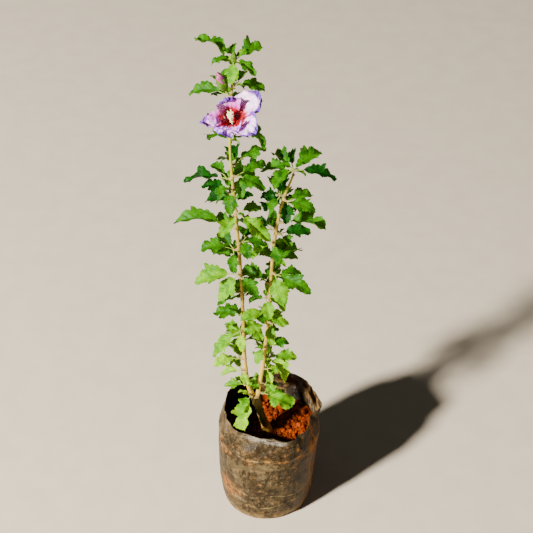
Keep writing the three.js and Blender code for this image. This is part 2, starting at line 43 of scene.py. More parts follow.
randomRule = {"start": 7919, "shift": 3, "factor": 16807, "modulus": 2 ** 31 - 1}


def between(span, share):
    return span[0] + (span[1] - span[0]) * share


def smoothStep(value, low, high):
    share = np.clip((np.asarray(value, float) - low) / (high - low), 0, 1)
    return share * share * (3 - 2 * share)


def unit(vectors):
    vectors = np.asarray(vectors, float)
    return vectors / np.linalg.norm(vectors, axis=-1, keepdims=True)


def direction(bearing, rise=0.0):  # bearing goes round from the right by way of the back
    turn, lift = math.radians(bearing), math.radians(rise)
    return np.array([math.cos(turn) * math.cos(lift), math.sin(turn) * math.cos(lift), math.sin(lift)])


def turned(vector, axis, angle):
    return (vector * math.cos(angle) + np.cross(axis, vector) * math.sin(angle)
            + axis * (axis @ vector) * (1 - math.cos(angle)))


def seededNumbers(seed):  # the source's own numbers from 0 to 1
    state = randomRule["start"] * (seed + randomRule["shift"])
    while True:
        state = state * randomRule["factor"] % randomRule["modulus"]
        yield state / randomRule["modulus"]


def noiseAt(points, size, octaves=3, shift=0.0):  # fractal noise of about -1 to 1 at points in mm
    shiftBy = Vector((shift, 1.7 * shift, 0.6 * shift))
    return np.array([noise.fractal(Vector(p) / size + shiftBy, 0.9, 2.1, octaves) for p in points])


# Shader and geometry trees
class Value:  # a socket that takes part in Python sums
    def __init__(self, nodes, socket):
        self.nodes = nodes
        self.socket = socket

    def math(self, operation, *others):
        return self.nodes.add("ShaderNodeMath", dict(enumerate([self, *others])), operation=operation)

    __add__ = __radd__ = partialmethod(math, "ADD")
    __mul__ = __rmul__ = partialmethod(math, "MULTIPLY")
    __sub__ = partialmethod(math, "SUBTRACT")
    __rsub__ = partialmethod(math, "MULTIPLY_ADD", -1.0)
    __truediv__ = partialmethod(math, "DIVIDE")
    __pow__ = partialmethod(math, "POWER")
    __abs__ = partialmethod(math, "ABSOLUTE")

    def step(self, low, high, onto=(0.0, 1.0)):  # smooth step from low to high
        return self.nodes.add("ShaderNodeMapRange", dict(enumerate([self, low, high, *onto])),
                              interpolation_type="SMOOTHSTEP")


class Nodes:
    def __init__(self, tree):
        self.tree = tree
        tree.nodes.clear()

    def add(self, kind, sockets=None, output=0, **settings):  # settings come first; gives one output's value
        node = self.tree.nodes.new(kind)
        for name, value in settings.items():
            setattr(node, name, value)
        for name, value in (sockets or {}).items():
            self.put(node.inputs[name], value)
        return Value(self, node.outputs[output]) if len(node.outputs) else None

    def put(self, socket, value):  # a list goes into a socket that takes several links
        if isinstance(value, list):
            for item in value:
                self.put(socket, item)
        elif isinstance(value, Value):
            self.tree.links.new(value.socket, socket)
        else:
            socket.default_value = (*value, 1) if socket.type == "RGBA" else value

    def mix(self, mask, first, second):  # colours
        return self.add("ShaderNodeMix", {0: mask, 6: first, 7: second}, 2, data_type="RGBA")

    def coats(self, base, *coats):  # each coat is a mask and the colour that it lays on
        for mask, colour in coats:
            base = self.mix(mask, base, colour)
        return base

    def scaled(self, vector, by):
        return self.add("ShaderNodeVectorMath", {0: vector, "Scale": by}, operation="SCALE")

    def stretched(self, vector, by):
        return self.add("ShaderNodeVectorMath", {0: vector, 1: by}, operation="MULTIPLY")

    def place(self):  # the object's own place, in mm
        return self.scaled(self.add("ShaderNodeTexCoord", output="Object"), 1 / mm)

    def axis(self, place, name):
        return self.add("ShaderNodeSeparateXYZ", {0: place}, name)

    def distance(self, place, point):
        return self.add("ShaderNodeVectorMath", {0: place, 1: point}, "Value", operation="DISTANCE")

    def noise(self, place, size, detail=3.0, roughness=0.55):  # 0 to 1, size in mm
        return self.add("ShaderNodeTexNoise", {"Vector": place, "Scale": 1 / size, "Detail": detail,
                                               "Roughness": roughness})

    def skin(self, colour, roughness, height, depth, gloss=0.5):  # bumps of some depth in mm
        bumps = self.add("ShaderNodeBump", {"Strength": 1.0, "Distance": depth * mm, "Height": height})
        return {"Base Color": colour, "Roughness": roughness, "Normal": bumps, "Specular IOR Level": gloss}


def paint(name, look, *traits, sheer=None, sheerShare=0.0):
    # look gives the main shader's sockets from the traits; sheer is the colour of light that shines through
    material = bpy.data.materials.new(name)
    material.use_nodes = True
    nodes = Nodes(material.node_tree)
    shader = nodes.add("ShaderNodeBsdfPrincipled", look(nodes, *traits))
    if sheer:
        glow = nodes.add("ShaderNodeBsdfTranslucent", {"Color": sheer})
        shader = nodes.add("ShaderNodeMixShader", {0: sheerShare, 1: shader, 2: glow})
    nodes.add("ShaderNodeOutputMaterial", {"Surface": shader})
    return material


def geometryTree(name, inputs):
    tree = bpy.data.node_groups.new(name, "GeometryNodeTree")
    nodes = Nodes(tree)
    for label, kind in {"Geometry": "Geometry", **inputs, "Material": "Material"}.items():
        tree.interface.new_socket(label, in_out="INPUT", socket_type="NodeSocket" + kind)
    tree.interface.new_socket("Geometry", in_out="OUTPUT", socket_type="NodeSocketGeometry")
    given = nodes.add("NodeGroupInput").socket.node.outputs
    return nodes, {socket.name: Value(nodes, socket) for socket in given if socket.name}


def roughened(nodes, geometry, place, scale, detail, relief):  # pushed along its normals by noise
    grain = nodes.add("ShaderNodeTexNoise", {"Vector": place, "Scale": scale, "Detail": detail})
    offset = nodes.scaled(nodes.add("GeometryNodeInputNormal"), (grain - 0.5) * relief)
    return nodes.add("GeometryNodeSetPosition", {"Geometry": geometry, "Offset": offset})


def endTree(nodes, geometry, material):
    geometry = nodes.add("GeometryNodeRealizeInstances", {"Geometry": geometry})
    geometry = nodes.add("GeometryNodeSetMaterial", {"Geometry": geometry, "Material": material})
    geometry = nodes.add("GeometryNodeSetShadeSmooth", {"Geometry": geometry})
    nodes.add("NodeGroupOutput", {"Geometry": geometry})
    return nodes.tree


# Meshes
def placed(name, data):
    thing = bpy.data.objects.new(name, data)
    bpy.context.scene.collection.objects.link(thing)
    return thing


def gridFaces(rows, columns, start=0, closed=False):
    index = np.arange(rows * columns).reshape(rows, columns) + start
    if closed:
        index = np.hstack([index, index[:, :1]])
    corners = [index[:-1, :-1], index[:-1, 1:], index[1:, 1:], index[1:, :-1]]
    return np.stack(corners, axis=-1).reshape(-1, 4)


def barrelFaces(rows, columns):  # rings of points, closed at both ends
    last = (rows - 1) * columns
    ends = [list(range(columns))[::-1], list(range(last, last + columns))]
    return gridFaces(rows, columns, 0, True).tolist() + ends


def makePiece(name, points, faces, materials, uvs=None, slots=None):
    mesh = bpy.data.meshes.new(name)
    mesh.from_pydata((np.asarray(points) * mm).tolist(), [], [list(map(int, face)) for face in faces])
    for material in materials:
        mesh.materials.append(material)
    if slots is not None:
        mesh.polygons.foreach_set("material_index", np.asarray(slots, np.int32))
    if uvs is not None:
        corner = np.zeros(len(mesh.loops), np.int32)
        mesh.loops.foreach_get("vertex_index", corner)
        layer = mesh.uv_layers.new(name="UVMap")
        layer.data.foreach_set("uv", np.asarray(uvs, np.float32)[corner].ravel())
    mesh.polygons.foreach_set("use_smooth", np.ones(len(mesh.polygons), bool))
    mesh.update()
    return placed(name, mesh)


def makeSheets(name, sheets, materials):  # sheets: [(points, uvs, rows and columns, material's number)]
    faces, slots = [], []
    count = 0
    for points, _, shape, slot in sheets:
        faces.append(gridFaces(*shape, count))
        slots += [slot] * len(faces[-1])
        count += len(points)
    uvs = None if sheets[0][1] is None else np.vstack([sheet[1] for sheet in sheets])
    return makePiece(name, np.vstack([sheet[0] for sheet in sheets]), np.vstack(faces), materials, uvs, slots)


def settle(piece, replaced=()):
    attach(piece, "root")
    if replaced:
        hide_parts(*replaced)
    print(piece.name, len(piece.data.polygons), "faces")


def grownBy(piece, tree, values):  # applies a geometry tree with the named inputs, as a plain mesh
    modifier = piece.modifiers.new("shape", "NODES")
    modifier.node_group = tree
    for item in tree.interface.items_tree:
        if item.in_out == "INPUT" and item.name in values:
            modifier[item.identifier] = values[item.name]
    graph = bpy.context.evaluated_depsgraph_get()
    mesh = bpy.data.meshes.new_from_object(piece.evaluated_get(graph))
    piece.modifiers.remove(modifier)
    piece.data = mesh
    mesh.name = piece.name
    return piece


# Tubes along lines of points that carry their own thickness: bark, twigs and stalks
def barkTubeTree():
    nodes, given = geometryTree("barkTube", {"Sides": "Int", "Relief": "Float", "Grain": "Float"})
    line = nodes.add("GeometryNodeMeshToCurve", {"Mesh": given["Geometry"]})
    thick = nodes.add("GeometryNodeInputNamedAttribute", {"Name": "thick"}, data_type="FLOAT")
    ring = nodes.add("GeometryNodeCurvePrimitiveCircle", {"Resolution": given["Sides"], "Radius": 1.0})
    tube = nodes.add("GeometryNodeCurveToMesh", {"Curve": line, "Profile Curve": ring, "Scale": thick,
                                                 "Fill Caps": True})
    place = nodes.stretched(nodes.add("GeometryNodeInputPosition"), (1, 1, 0.35))
    rough = roughened(nodes, tube, place, given["Grain"], 3.0, given["Relief"])
    return endTree(nodes, rough, given["Material"])


barkTube = barkTubeTree()


def tubes(name, lines, material, sides, relief, grain):  # lines: [(points, radii)], in mm
    points, edges, thick = [], [], []
    for line, radii in lines:
        edges += [(len(points) + i, len(points) + i + 1) for i in range(len(line) - 1)]
        points += (np.asarray(line) * mm).tolist()
        thick += [radius * mm for radius in radii]
    mesh = bpy.data.meshes.new(name)
    mesh.from_pydata(points, edges, [])
    mesh.attributes.new("thick", "FLOAT", "POINT").data.foreach_set("value", thick)
    return grownBy(placed(name, mesh), barkTube, {
        "Sides": sides, "Relief": relief * mm, "Grain": 1 / (grain * mm), "Material": material})


# Trunk and stems: the points they run through and the radii there
limbs = {
    "trunk": {"points": [(0, 0, 114.2), (-2, 0, 126), (-8.5, 0, 148), (-15, 0, 178)],
              "radii": [8, 5.4, 4.8, 6.6]},
    "left": {
        "points": [(-18.4, 0, 178.3), (-23.5, -0.5, 197), (-28, -1.5, 245), (-29.4, -2, 330), (-33, -3, 425),
                   (-38, -4, 507), (-41.2, -4.8, 574), (-38.4, -5.4, 646), (-35.2, -6, 681)],
        "radii": [3.1, 2.8, 2.45, 2.1, 1.95, 1.8, 1.55, 1.35, 1.1]},
    "right": {
        "points": [(-11.2, 0, 178.3), (-8, 0.5, 204), (-3, 1, 246), (3.8, 2.5, 326), (6.6, 3.6, 390),
                   (11, 4.5, 443), (20, 5.3, 492), (31, 6, 527)],
        "radii": [2.9, 2.7, 2.5, 2.3, 2.1, 1.9, 1.6, 1.2]},
}
ringsPerStretch = {"solid": 2, "bark": 14, "stalk": 8}


def routeOf(limb, rings):
    knots = np.array(limb["points"], float)
    padded = np.vstack([2 * knots[0] - knots[1], knots, 2 * knots[-1] - knots[-2]])
    points, radii = [], []
    for i in range((len(knots) - 1) * rings + 1):
        k = min(i // rings, len(knots) - 2)
        before, start, end, after = padded[k:k + 4]
        w = i / rings - k
        leave, arrive = (end - before) / 2, (after - start) / 2
        points.append(start + leave * w + (3 * (end - start) - 2 * leave - arrive) * w * w
                      + (2 * (start - end) + leave + arrive) * w ** 3)
        radii.append(between(limb["radii"][k:k + 2], w))
    return np.array(points), np.array(radii)


routes = {name: routeOf(limb, ringsPerStretch["solid"]) for name, limb in limbs.items()}


def limbAt(points, radii, height):
    i = int(np.clip(np.searchsorted(points[:, 2], height) - 1, 0, len(points) - 2))
    share = np.clip((height - points[i, 2]) / (points[i + 1, 2] - points[i, 2]), 0, 1)
    return between(points[i:i + 2], share), between(radii[i:i + 2], share), unit(points[i + 1] - points[i])


# How tufts grow, as in the source
growth = {
    "gap": 0.3, "spur": 5, "tipSpur": 9, "spurRadius": 1.7, "stalkThick": 1.5, "elbowRoom": 4.5,
    "bladeRoom": 1.6, "light": 230, "rollToLight": 0.25, "rollSpread": 0.5, "arch": (0.12, 0.28),
    "fold": (0.2, 0.6), "wide": (0.9, 1.14), "broadFrom": 1.1, "slimFrom": 38, "slimPower": 0.5,
    "bare": (0.17, 0.25), "smallBare": (0.14, 0.22), "frontSpurs": -0.5,
    "back": ((50, 130), (40, 56), (-34, -10)), "smallTurn": (45, 80), "smallSize": ((15, 26), (12, 42)),
    "smallStep": 50, "goldenTurn": 137.5, "spurShares": (0.55, 0.95), "turns": (0, 7, -7, 14, -14, 21, -21),
    "lifts": (0, 8, -8, 16), "testWidth": 0.38,
}

# Tufts: limb, height, side the spur stands on, each large leaf's bearing, reach and rise (and some leaves'
# share of width and extra roll), and the number of small ones
tufts = [
    ("left", 183, 262, [(254, 50, -44, 1.25), (240, 31, -20, 1.2)], 0),
    ("left", 227, 215, [(184, 34, -15), (277, 22, -50)], 0),
    ("left", 246, 190, [(192, 42, -4)], 1),
    ("left", 268, 95, [(75, 42, 5), (128, 40, 12)], 0),
    ("left", 296, 235, [(202, 54, -35), (264, 30, -55), (172, 26, -28)], 0),
    ("left", 321, 262, [(312, 42, -28), (168, 37, -5)], 0),
    ("left", 344, 80, [(68, 38, 15), (122, 34, 10)], 0),
    ("left", 357, 190, [(196, 34, -22), (152, 34, 0)], 1),
    ("left", 388, 240, [(188, 58, -10), (214, 44, -42), (312, 36, -34)], 0),
    ("left", 405, 150, [(163, 34, 12), (118, 36, 10)], 0),
    ("left", 424, 190, [(186, 47, 5), (158, 34, 20), (250, 30, -46)], 0),
    ("left", 434, 20, [(37, 32, 15), (358, 32, 0)], 0),
    ("left", 457, 180, [(179, 77, 5, 0.8), (140, 34, 8)], 0),
    ("left", 482, 300, [(4, 32, 0), (332, 52, -35), (236, 36, -34)], 0),
    ("left", 492, 90, [(88, 42, 6)], 1),
    ("left", 506, 150, [(159, 40, 10), (122, 34, 18)], 0),
    ("left", 516, 262, [(256, 32, -42)], 0),
    ("left", 529, 180, [(175, 58, -5), (146, 32, 14)], 0),
    ("left", 533, 345, [(21, 46, 5), (350, 42, -12), (300, 30, -32)], 0),
    ("left", 547, 40, [(28, 48, 14), (84, 34, 12)], 0),
    ("left", 579, 95, [(132, 30, 8), (30, 26, 0)], 1),
    ("left", 613, 325, [(328, 54, -20, 0.65)], 0),
    ("left", 641, 140, [(162, 52, -4, 0.9), (112, 34, 2)], 0),
    ("left", 655, 20, [(8, 38, -12), (50, 30, 8)], 1),
    ("left", 681, 90, [(145, 54, 22, 0.75, 20), (29, 38, 20), (265, 22, -35), (336, 28, -8), (186, 26, 8),
                       (104, 34, 10)], 2),
    ("right", 184, 335, [(340, 47, -17, 1.2, 25), (30, 30, 4)], 0),
    ("right", 200, 340, [(318, 26, -6)], 0),
    ("right", 226, 345, [(346, 30, 2), (300, 24, -28)], 0),
    ("right", 246, 345, [(338, 44, -35), (359, 42, -5)], 0),
    ("right", 258, 60, [(18, 34, 8), (124, 30, 12)], 0),
    ("right", 266, 250, [(236, 28, -30)], 0),
    ("right", 288, 90, [(62, 40, 10), (112, 38, 6)], 0),
    ("right", 304, 320, [(6, 27, -5), (270, 30, -45)], 0),
    ("right", 322, 235, [(208, 40, -16), (318, 28, -20)], 0),
    ("right", 344, 200, [(186, 28, -15), (268, 30, -42)], 0),
    ("right", 352, 20, [(16, 32, 5)], 1),
    ("right", 365, 150, [(149, 45, 5), (82, 34, 10)], 0),
    ("right", 383, 315, [(326, 56, -10), (292, 44, -45), (352, 38, -5)], 0),
    ("right", 402, 25, [(5, 32, 8), (62, 38, 10)], 0),
    ("right", 432, 235, [(213, 36, -35), (288, 30, -44)], 0),
    ("right", 443, 345, [(0, 42, 0), (316, 26, -18)], 0),
    ("right", 447, 170, [(190, 31, -8), (150, 32, 8)], 0),
    ("right", 460, 345, [(351, 58, -5)], 1),
    ("right", 480, 95, [(80, 38, 8), (132, 34, 4)], 0),
    ("right", 493, 320, [(325, 42, -5), (357, 36, 2), (276, 30, -44)], 0),
    ("right", 497, 190, [(169, 45, 0), (228, 27, -40)], 0),
    ("right", 527, 90, [(40, 46, 22), (134, 40, 18), (357, 50, -8, 0.8), (160, 40, 4), (80, 38, 20),
                        (212, 30, -18)], 2),
    ("left", 203, 235, [(186, 31, -10), (325, 20, -5)], 0),
]


def springFrom(stem, height, bearing):
    points, radii = routes[stem]
    knot, radius, tangent = limbAt(points, radii, height)
    atTip = height >= points[-1, 2]
    outward = direction(bearing)
    way = up if atTip else unit(outward - (outward @ tangent) * tangent)
    root = knot + way * (growth["gap"] + (0 if atTip else radius))
    return {"knot": knot, "radius": radius, "way": way, "root": root, "atTip": atTip}


# A bent leaf or petal follows three points; t runs from 0 at the foot to 1 at the tip
def onMidrib(bend, t):
    t = np.asarray(t, float)[..., None]
    point = bend["start"] * (1 - t) ** 2 + bend["middle"] * 2 * t * (1 - t) + bend["end"] * t * t
    tangent = unit((bend["middle"] - bend["start"]) * (1 - t) + (bend["end"] - bend["middle"]) * t)
    side = unit(bend["side"] - (tangent @ bend["side"])[..., None] * tangent)
    return point, side, np.cross(tangent, side)


def bendLeaf(start, knot, wish, turn, lift):
    habit, bearing = wish["habit"], wish["bearing"] + turn
    end = knot + direction(bearing, wish["rise"] + lift) * wish["reach"]
    chord = end - start
    length = np.linalg.norm(chord)
    side = turned(direction(bearing + 90), chord / length, habit["roll"])
    return {**habit, "start": start, "middle": start + chord / 2 + up * habit["arch"] * length, "end": end,
            "side": side, "length": length * (1 - habit["bare"])}


def drawHabit(draw, bearing, reach, small):
    toLight = direction(bearing + 90) @ direction(growth["light"])
    slim = min(growth["slimFrom"] / reach, 1) ** growth["slimPower"]
    return {
        "arch": between(growth["arch"], next(draw)),
        "roll": growth["rollSpread"] * (next(draw) - 0.5) - growth["rollToLight"] * toLight,
        "fold": between(growth["fold"], next(draw)),
        "wide": between(growth["wide"], next(draw)) * slim,
        "bare": between(growth["smallBare" if small else "bare"], next(draw)),
    }


def leafPlaces(leaf):  # test points on the stalk and the blade, and which are the blade's
    stalk, _, _ = onMidrib(leaf, leaf["bare"] * np.arange(1, 5) / 4)
    share = np.repeat(np.arange(2, 13) / 12, 7)
    width = leaf["wide"] * growth["testWidth"] * np.sin(np.pi * (0.9 * share + 0.05))
    across = (width * np.tile(np.arange(-3, 4), 11) / 3)[:, None] * leaf["length"]
    point, side, normal = onMidrib(leaf, leaf["bare"] + (1 - leaf["bare"]) * share)
    blade = point + side * across * math.cos(leaf["fold"]) + normal * abs(across) * math.sin(leaf["fold"])
    return np.vstack([stalk, blade]), np.arange(len(stalk) + len(blade)) >= len(stalk)


taken = {"points": np.empty((0, 3)), "tufts": np.empty(0, int), "blades": np.empty(0, bool)}


def takePlaces(points, blades, tuft):
    taken["points"] = np.vstack([taken["points"], points])
    taken["tufts"] = np.append(taken["tufts"], np.full(len(points), tuft))
    taken["blades"] = np.append(taken["blades"], blades)


def isClear(points, blades, tuft, elbowRoom):
    room = np.where(blades, growth["bladeRoom"], growth["stalkThick"] / 2 + growth["gap"])
    for axis, radii in routes.values():
        x, y, radius = (np.interp(points[:, 2], axis[:, 2], row) for row in (axis[:, 0], axis[:, 1], radii))
        beside = (points[:, 2] >= axis[0, 2] - room) & (points[:, 2] <= axis[-1, 2] + room)
        if np.any(beside & (np.hypot(points[:, 0] - x, points[:, 1] - y) < radius + room)):
            return False
    low, high = points.min(axis=0) - elbowRoom, points.max(axis=0) + elbowRoom
    inside = np.all((taken["points"] > low) & (taken["points"] < high), axis=1)
    near = inside & (taken["blades"] | (taken["tufts"] != tuft))
    apart = np.linalg.norm(points[:, None] - taken["points"][near][None], axis=2)
    limit = np.where(taken["tufts"][near] == tuft, elbowRoom / 2, elbowRoom)
    return not np.any(apart < limit)


def placeLeaf(tuft, share, wish, elbowRoom=growth["elbowRoom"]):  # share: place on the spur
    start = tuft["root"] + tuft["way"] * tuft["length"] * share
    for lift in growth["lifts"]:
        for turn in growth["turns"]:
            leaf = bendLeaf(start, tuft["knot"], wish, turn, lift)
            places = leafPlaces(leaf)
            if isClear(*places, tuft["index"], elbowRoom):
                takePlaces(*places, tuft["index"])
                tuft["leaves"].append({**leaf, "small": wish["small"], "broad": wish["broad"]})
                return


# Flower and bud, as the solids have them
flowerForm = {
    "throat": np.array([-37.2, -38, 628]), "axis": unit([-0.1, -0.42, 0.9]), "depth": 13,
    "petals": [(50, 43, 22, 0.66), (114, 28, 27, 0.95), (200, 36, 14, 0.55), (266, 26, 13, 1),
               (330, 38, 14, 0.8)],
    "foot": (9, 2.4), "slope": 0.25, "hidden": 8, "fold": 0.12, "stalk": (588, 276),
}
flowerBase = flowerForm["throat"] - flowerForm["axis"] * flowerForm["depth"]
flowerRight = unit(np.cross(up, flowerForm["axis"]))
budForm = {
    "ends": np.array([(-45, -8, 650.5), (-53, -9, 674.0)]), "along": (0, 0.14, 0.36, 0.58, 0.82, 1),
    "radii": (1.8, 4.8, 6.1, 5.4, 3.9, 1.1), "stalk": (645, 215),
}


def onFlower(along, out=0.0, turn=0.0):
    axis = flowerForm["axis"]
    return flowerBase + axis * along + turned(flowerRight, axis, math.radians(turn)) * out


def bendPetal(turn, reach, rise, wide):
    axis = flowerForm["axis"]
    outward = turned(flowerRight, axis, math.radians(turn))
    top = flowerForm["throat"] + axis * rise
    return {"start": onFlower(*flowerForm["foot"], turn), "end": top + outward * reach,
            "middle": top + outward * flowerForm["slope"] * reach, "side": np.cross(axis, outward),
            "length": reach + flowerForm["hidden"], "fold": flowerForm["fold"], "wide": wide, "bare": 0.0}


petalBends = [bendPetal(*row) for row in flowerForm["petals"]]
for bend in petalBends:
    takePlaces(*leafPlaces(bend), -1)
for share, radius in zip(budForm["along"], budForm["radii"]):
    ring = [between(budForm["ends"], share) + radius * direction(45 * k) for k in range(8)]
    takePlaces(np.array(ring), np.ones(8, bool), -2)


def wishRows(draw, tuft, out, large, small):  # small or not, bearing, reach, rise, then width and roll
    for row in large:
        yield (False, *row)
    if not tuft["atTip"] and tuft["way"][1] > growth["frontSpurs"]:
        yield (False, *[between(span, next(draw)) for span in growth["back"]])
    for k in range(small):
        turn = between(growth["smallTurn"], next(draw))
        if math.sin(math.radians(out + turn)) - math.sin(math.radians(out - turn)) <= 1e-6:
            turn = -turn
        bearing = out + turn + k * growth["goldenTurn" if tuft["atTip"] else "smallStep"]
        yield (True, bearing, *[between(span, next(draw)) for span in growth["smallSize"]])


def makeWish(draw, small, bearing, reach, rise, width=1, roll=0):
    habit = drawHabit(draw, bearing, reach, small)
    habit["wide"] *= width
    habit["roll"] += math.radians(roll)
    return {"bearing": bearing, "reach": reach, "rise": rise, "small": small, "habit": habit,
            "broad": width >= growth["broadFrom"]}


def growTufts():
    grown = []
    for index, (limb, height, out, large, small) in enumerate(tufts):
        tuft = {"limb": limb, "height": height, "out": out, "index": index, **springFrom(limb, height, out)}
        draw = seededNumbers(index)
        tuft["wishes"] = [makeWish(draw, *row) for row in wishRows(draw, tuft, out, large, small)]
        tuft["length"] = growth["tipSpur" if tuft["atTip"] else "spur"]
        tuft["leaves"] = []
        grown.append(tuft)
    for small in (False, True):
        for tuft in grown:
            for i, wish in enumerate(tuft["wishes"]):
                if wish["small"] == small:
                    share = between(growth["spurShares"], i / max(len(tuft["wishes"]) - 1, 1))
                    placeLeaf(tuft, share, wish)
    return grown


grown = growTufts()
print("tufts", len(grown), "leaves", sum(len(tuft["leaves"]) for tuft in grown))

# Finer leaves in the tufts, which the solids leave out, by the same rule with less room
fineForm = {
    "count": 5, "seed": 500, "spread": (-30, 30), "reach": (12, 29), "rise": (-40, 40), "elbowRoom": 3.4,
    "habit": {"arch": (0.1, 0.3), "roll": (-0.5, 0.5), "wide": (0.8, 1.1), "fold": (0.2, 0.6),
              "bare": (0.12, 0.2)},
    "spurShares": (0.4, 0.95), "lobedFrom": 22, "front": (215, 325),
}


def fillTuft(tuft):
    draw = np.random.default_rng(fineForm["seed"] + tuft["index"])
    for k in range(fineForm["count"]):
        turn = growth["goldenTurn"] * (k + 1) + draw.uniform(*fineForm["spread"])
        wish = {"bearing": (tuft["out"] + turn) % 360, "reach": draw.uniform(*fineForm["reach"]),
                "rise": draw.uniform(*fineForm["rise"]), "broad": False,
                "habit": {name: draw.uniform(*span) for name, span in fineForm["habit"].items()}}
        wish["small"] = wish["reach"] < fineForm["lobedFrom"]
        share = draw.uniform(*fineForm["spurShares"])
        if not fineForm["front"][0] < wish["bearing"] < fineForm["front"][1]:
            placeLeaf(tuft, share, wish, fineForm["elbowRoom"])


for tuft in grown:
    fillTuft(tuft)
print("leaves with the finer ones", sum(len(tuft["leaves"]) for tuft in grown))

# Leaves: the outline runs from station to station of the source's leaf, with bulges and teeth
leafOutlines = {
    "lobed": {"stations": ((0, 0, 0.012), (0.18, 0.2, 0.19), (0.46, 0.6, 0.42), (0.55, 0.59, 0.24),
                           (0.78, 0.81, 0.21), (0.94, 0.96, 0.09), (1, 1, 0)),
              "bulges": (0.04, 0.03, -0.02, 0.04, 0.025, 0.02), "teeth": (1, 3, 1, 2, 1, 1)},
    "broad": {"stations": ((0, 0, 0.012), (0.17, 0.14, 0.22), (0.42, 0.5, 0.44), (0.5, 0.56, 0.25),
                           (0.76, 0.8, 0.34), (0.92, 0.98, 0.19), (1, 1, 0)),
              "bulges": (0.05, 0.07, -0.03, 0.02, 0.05, 0.03), "teeth": (1, 3, 1, 1, 2, 1)},
    "small": {"stations": ((0, 0, 0.012), (0.35, 0.38, 0.27), (0.7, 0.72, 0.19), (1, 1, 0)),
              "bulges": (0.06, 0.03, 0.03), "teeth": (1, 2, 2)},
}
leafForm = {
    "toothDepth": 0.06, "toothShare": 2.6, "toothMiddle": 0.45, "notch": -0.2, "thinnest": 0.004,
    "tooth": ((0.0, 0.0), (0.28, 0.6), (0.6, 1.0), (0.86, 0.8)), "tip": (1, 1.01, 0.003),
    "columns": (0, 0.12, 0.34, 0.58, 0.8, 1), "oval": (0.34, 0.8), "unlobed": (-0.1, 0.5), "handed": 0.12,
    "mostUnlobed": 0.7, "hinge": (-0.02, 0.12), "phases": (0, 6.28, 3), "wave": (0.03, 0.09),
    "waves": (1.5, 3.0), "wavePower": 1.7, "curl": (-1.3, 1.5), "ribs": (6, 0.8), "pucker": 0.022,
    "puckered": (0.02, 0.1), "droop": (0.02, 0.16), "drooping": (0.35, 1.15), "droopPower": 1.4,
    "twist": (-0.3, 0.3), "twistFrom": 0.4, "sway": 0.07, "swaying": (0.3, 1.2), "groove": 0.012,
    "gloss": 0.08, "sheerShare": 0.16, "veinTint": 0.22,
}
# The top and front ramps deal paler tints to leaves where the light falls: painted sunlight. The low-down
# ramp makes the lower leaves paler
leafTint = {  # ramps: how much, then the axis, its sign and from where to where: top, low down, front
    "least": 0.3, "spread": 0.65, "small": 0.2,
    "ramps": ((0.3, 2, 1, 610, 690), (0.6, 2, -1, -460, -190), (0.25, 1, -1, -5, 30)),
}


def leafRows(outline):  # rows of midrib place, edge place, half width
    stations, rows = outline["stations"], []
    for (m0, e0, w0), (m1, e1, w1), bulge, count in zip(
            stations, stations[1:], outline["bulges"], outline["teeth"]):
        along, out = e1 - e0, w1 - w0
        size = math.hypot(along, out)
        depth = leafForm["toothDepth"] * min(1, leafForm["toothShare"] * size)
        for k in range(count):
            for place, height in leafForm["tooth"]:
                share = (k + place) / count
                offset = bulge * 4 * share * (1 - share) + depth * (height - leafForm["toothMiddle"])
                if share == 0:
                    offset = leafForm["notch"] * depth if rows else 0
                rows.append((m0 + (m1 - m0) * share, e0 + along * share - out / size * offset,
                             max(w0 + out * share + along / size * offset, leafForm["thinnest"])))
    return np.array([*rows, leafForm["tip"]])


leafGrids = {kind: leafRows(outline) for kind, outline in leafOutlines.items()}


def leafBlade(leaf, seed):  # points of the blade and their places as shares across and along
    rows = leafGrids["small" if leaf["small"] else "broad" if leaf["broad"] else "lobed"]
    draw = np.random.default_rng(seed)
    half = np.array(leafForm["columns"])
    across = np.concatenate([-half[:0:-1], half])
    reach, hand = abs(across), np.sign(across)
    girth, power = leafForm["oval"]
    oval = girth * np.sin(np.pi * np.clip(rows[:, 1], 0, 1) ** power) ** power
    unlobed = draw.uniform(*leafForm["unlobed"]) + leafForm["handed"] * draw.normal() * hand
    lobed = 1 - np.clip(unlobed, 0, leafForm["mostUnlobed"]) * (not leaf["broad"])
    edge = rows[:, 2:3] * lobed + oval[:, None] * (1 - lobed)
    share = rows[:, :1] + (rows[:, 1:2] - rows[:, :1]) * reach
    width = edge * across
    wide = width * leaf["wide"]
    point, side, normal = onMidrib(leaf, leaf["bare"] + (1 - leaf["bare"]) * share)
    fold = leaf["fold"] * smoothStep(abs(width), *leafForm["hinge"])
    phase = draw.uniform(*leafForm["phases"])
    swing = draw.uniform(*leafForm["wave"])
    waves = 2 * np.pi * share * draw.uniform(*leafForm["waves"]) + phase[0] + phase[1] * (hand > 0)
    wave = swing * np.sin(waves) * reach ** leafForm["wavePower"]
    curl = draw.uniform(*leafForm["curl"]) * wide ** 2
    ribs, slope = leafForm["ribs"]
    rib = 0.5 + 0.5 * np.cos(2 * np.pi * (share - slope * abs(width)) * ribs)
    relief = leafForm["pucker"] * rib * smoothStep(abs(width), *leafForm["puckered"]) * (1 - 0.5 * reach)
    droop = smoothStep(share, *leafForm["drooping"]) ** leafForm["droopPower"]
    droop = -draw.uniform(*leafForm["droop"]) * droop
    twist = draw.uniform(*leafForm["twist"]) * (share - leafForm["twistFrom"])
    sway = leafForm["sway"] * draw.normal() * smoothStep(share, *leafForm["swaying"])
    size = leaf["length"]
    groove = leafForm["groove"] * (reach < 0.05)
    lift = (abs(wide) * np.sin(fold) + wide * twist + wave + curl + relief + droop - groove) * size
    points = point + side * ((wide * np.cos(fold) + sway) * size)[..., None] + normal * lift[..., None]
    return points.reshape(-1, 3), np.stack([width + 0.5, share], axis=-1).reshape(-1, 2), share.shape


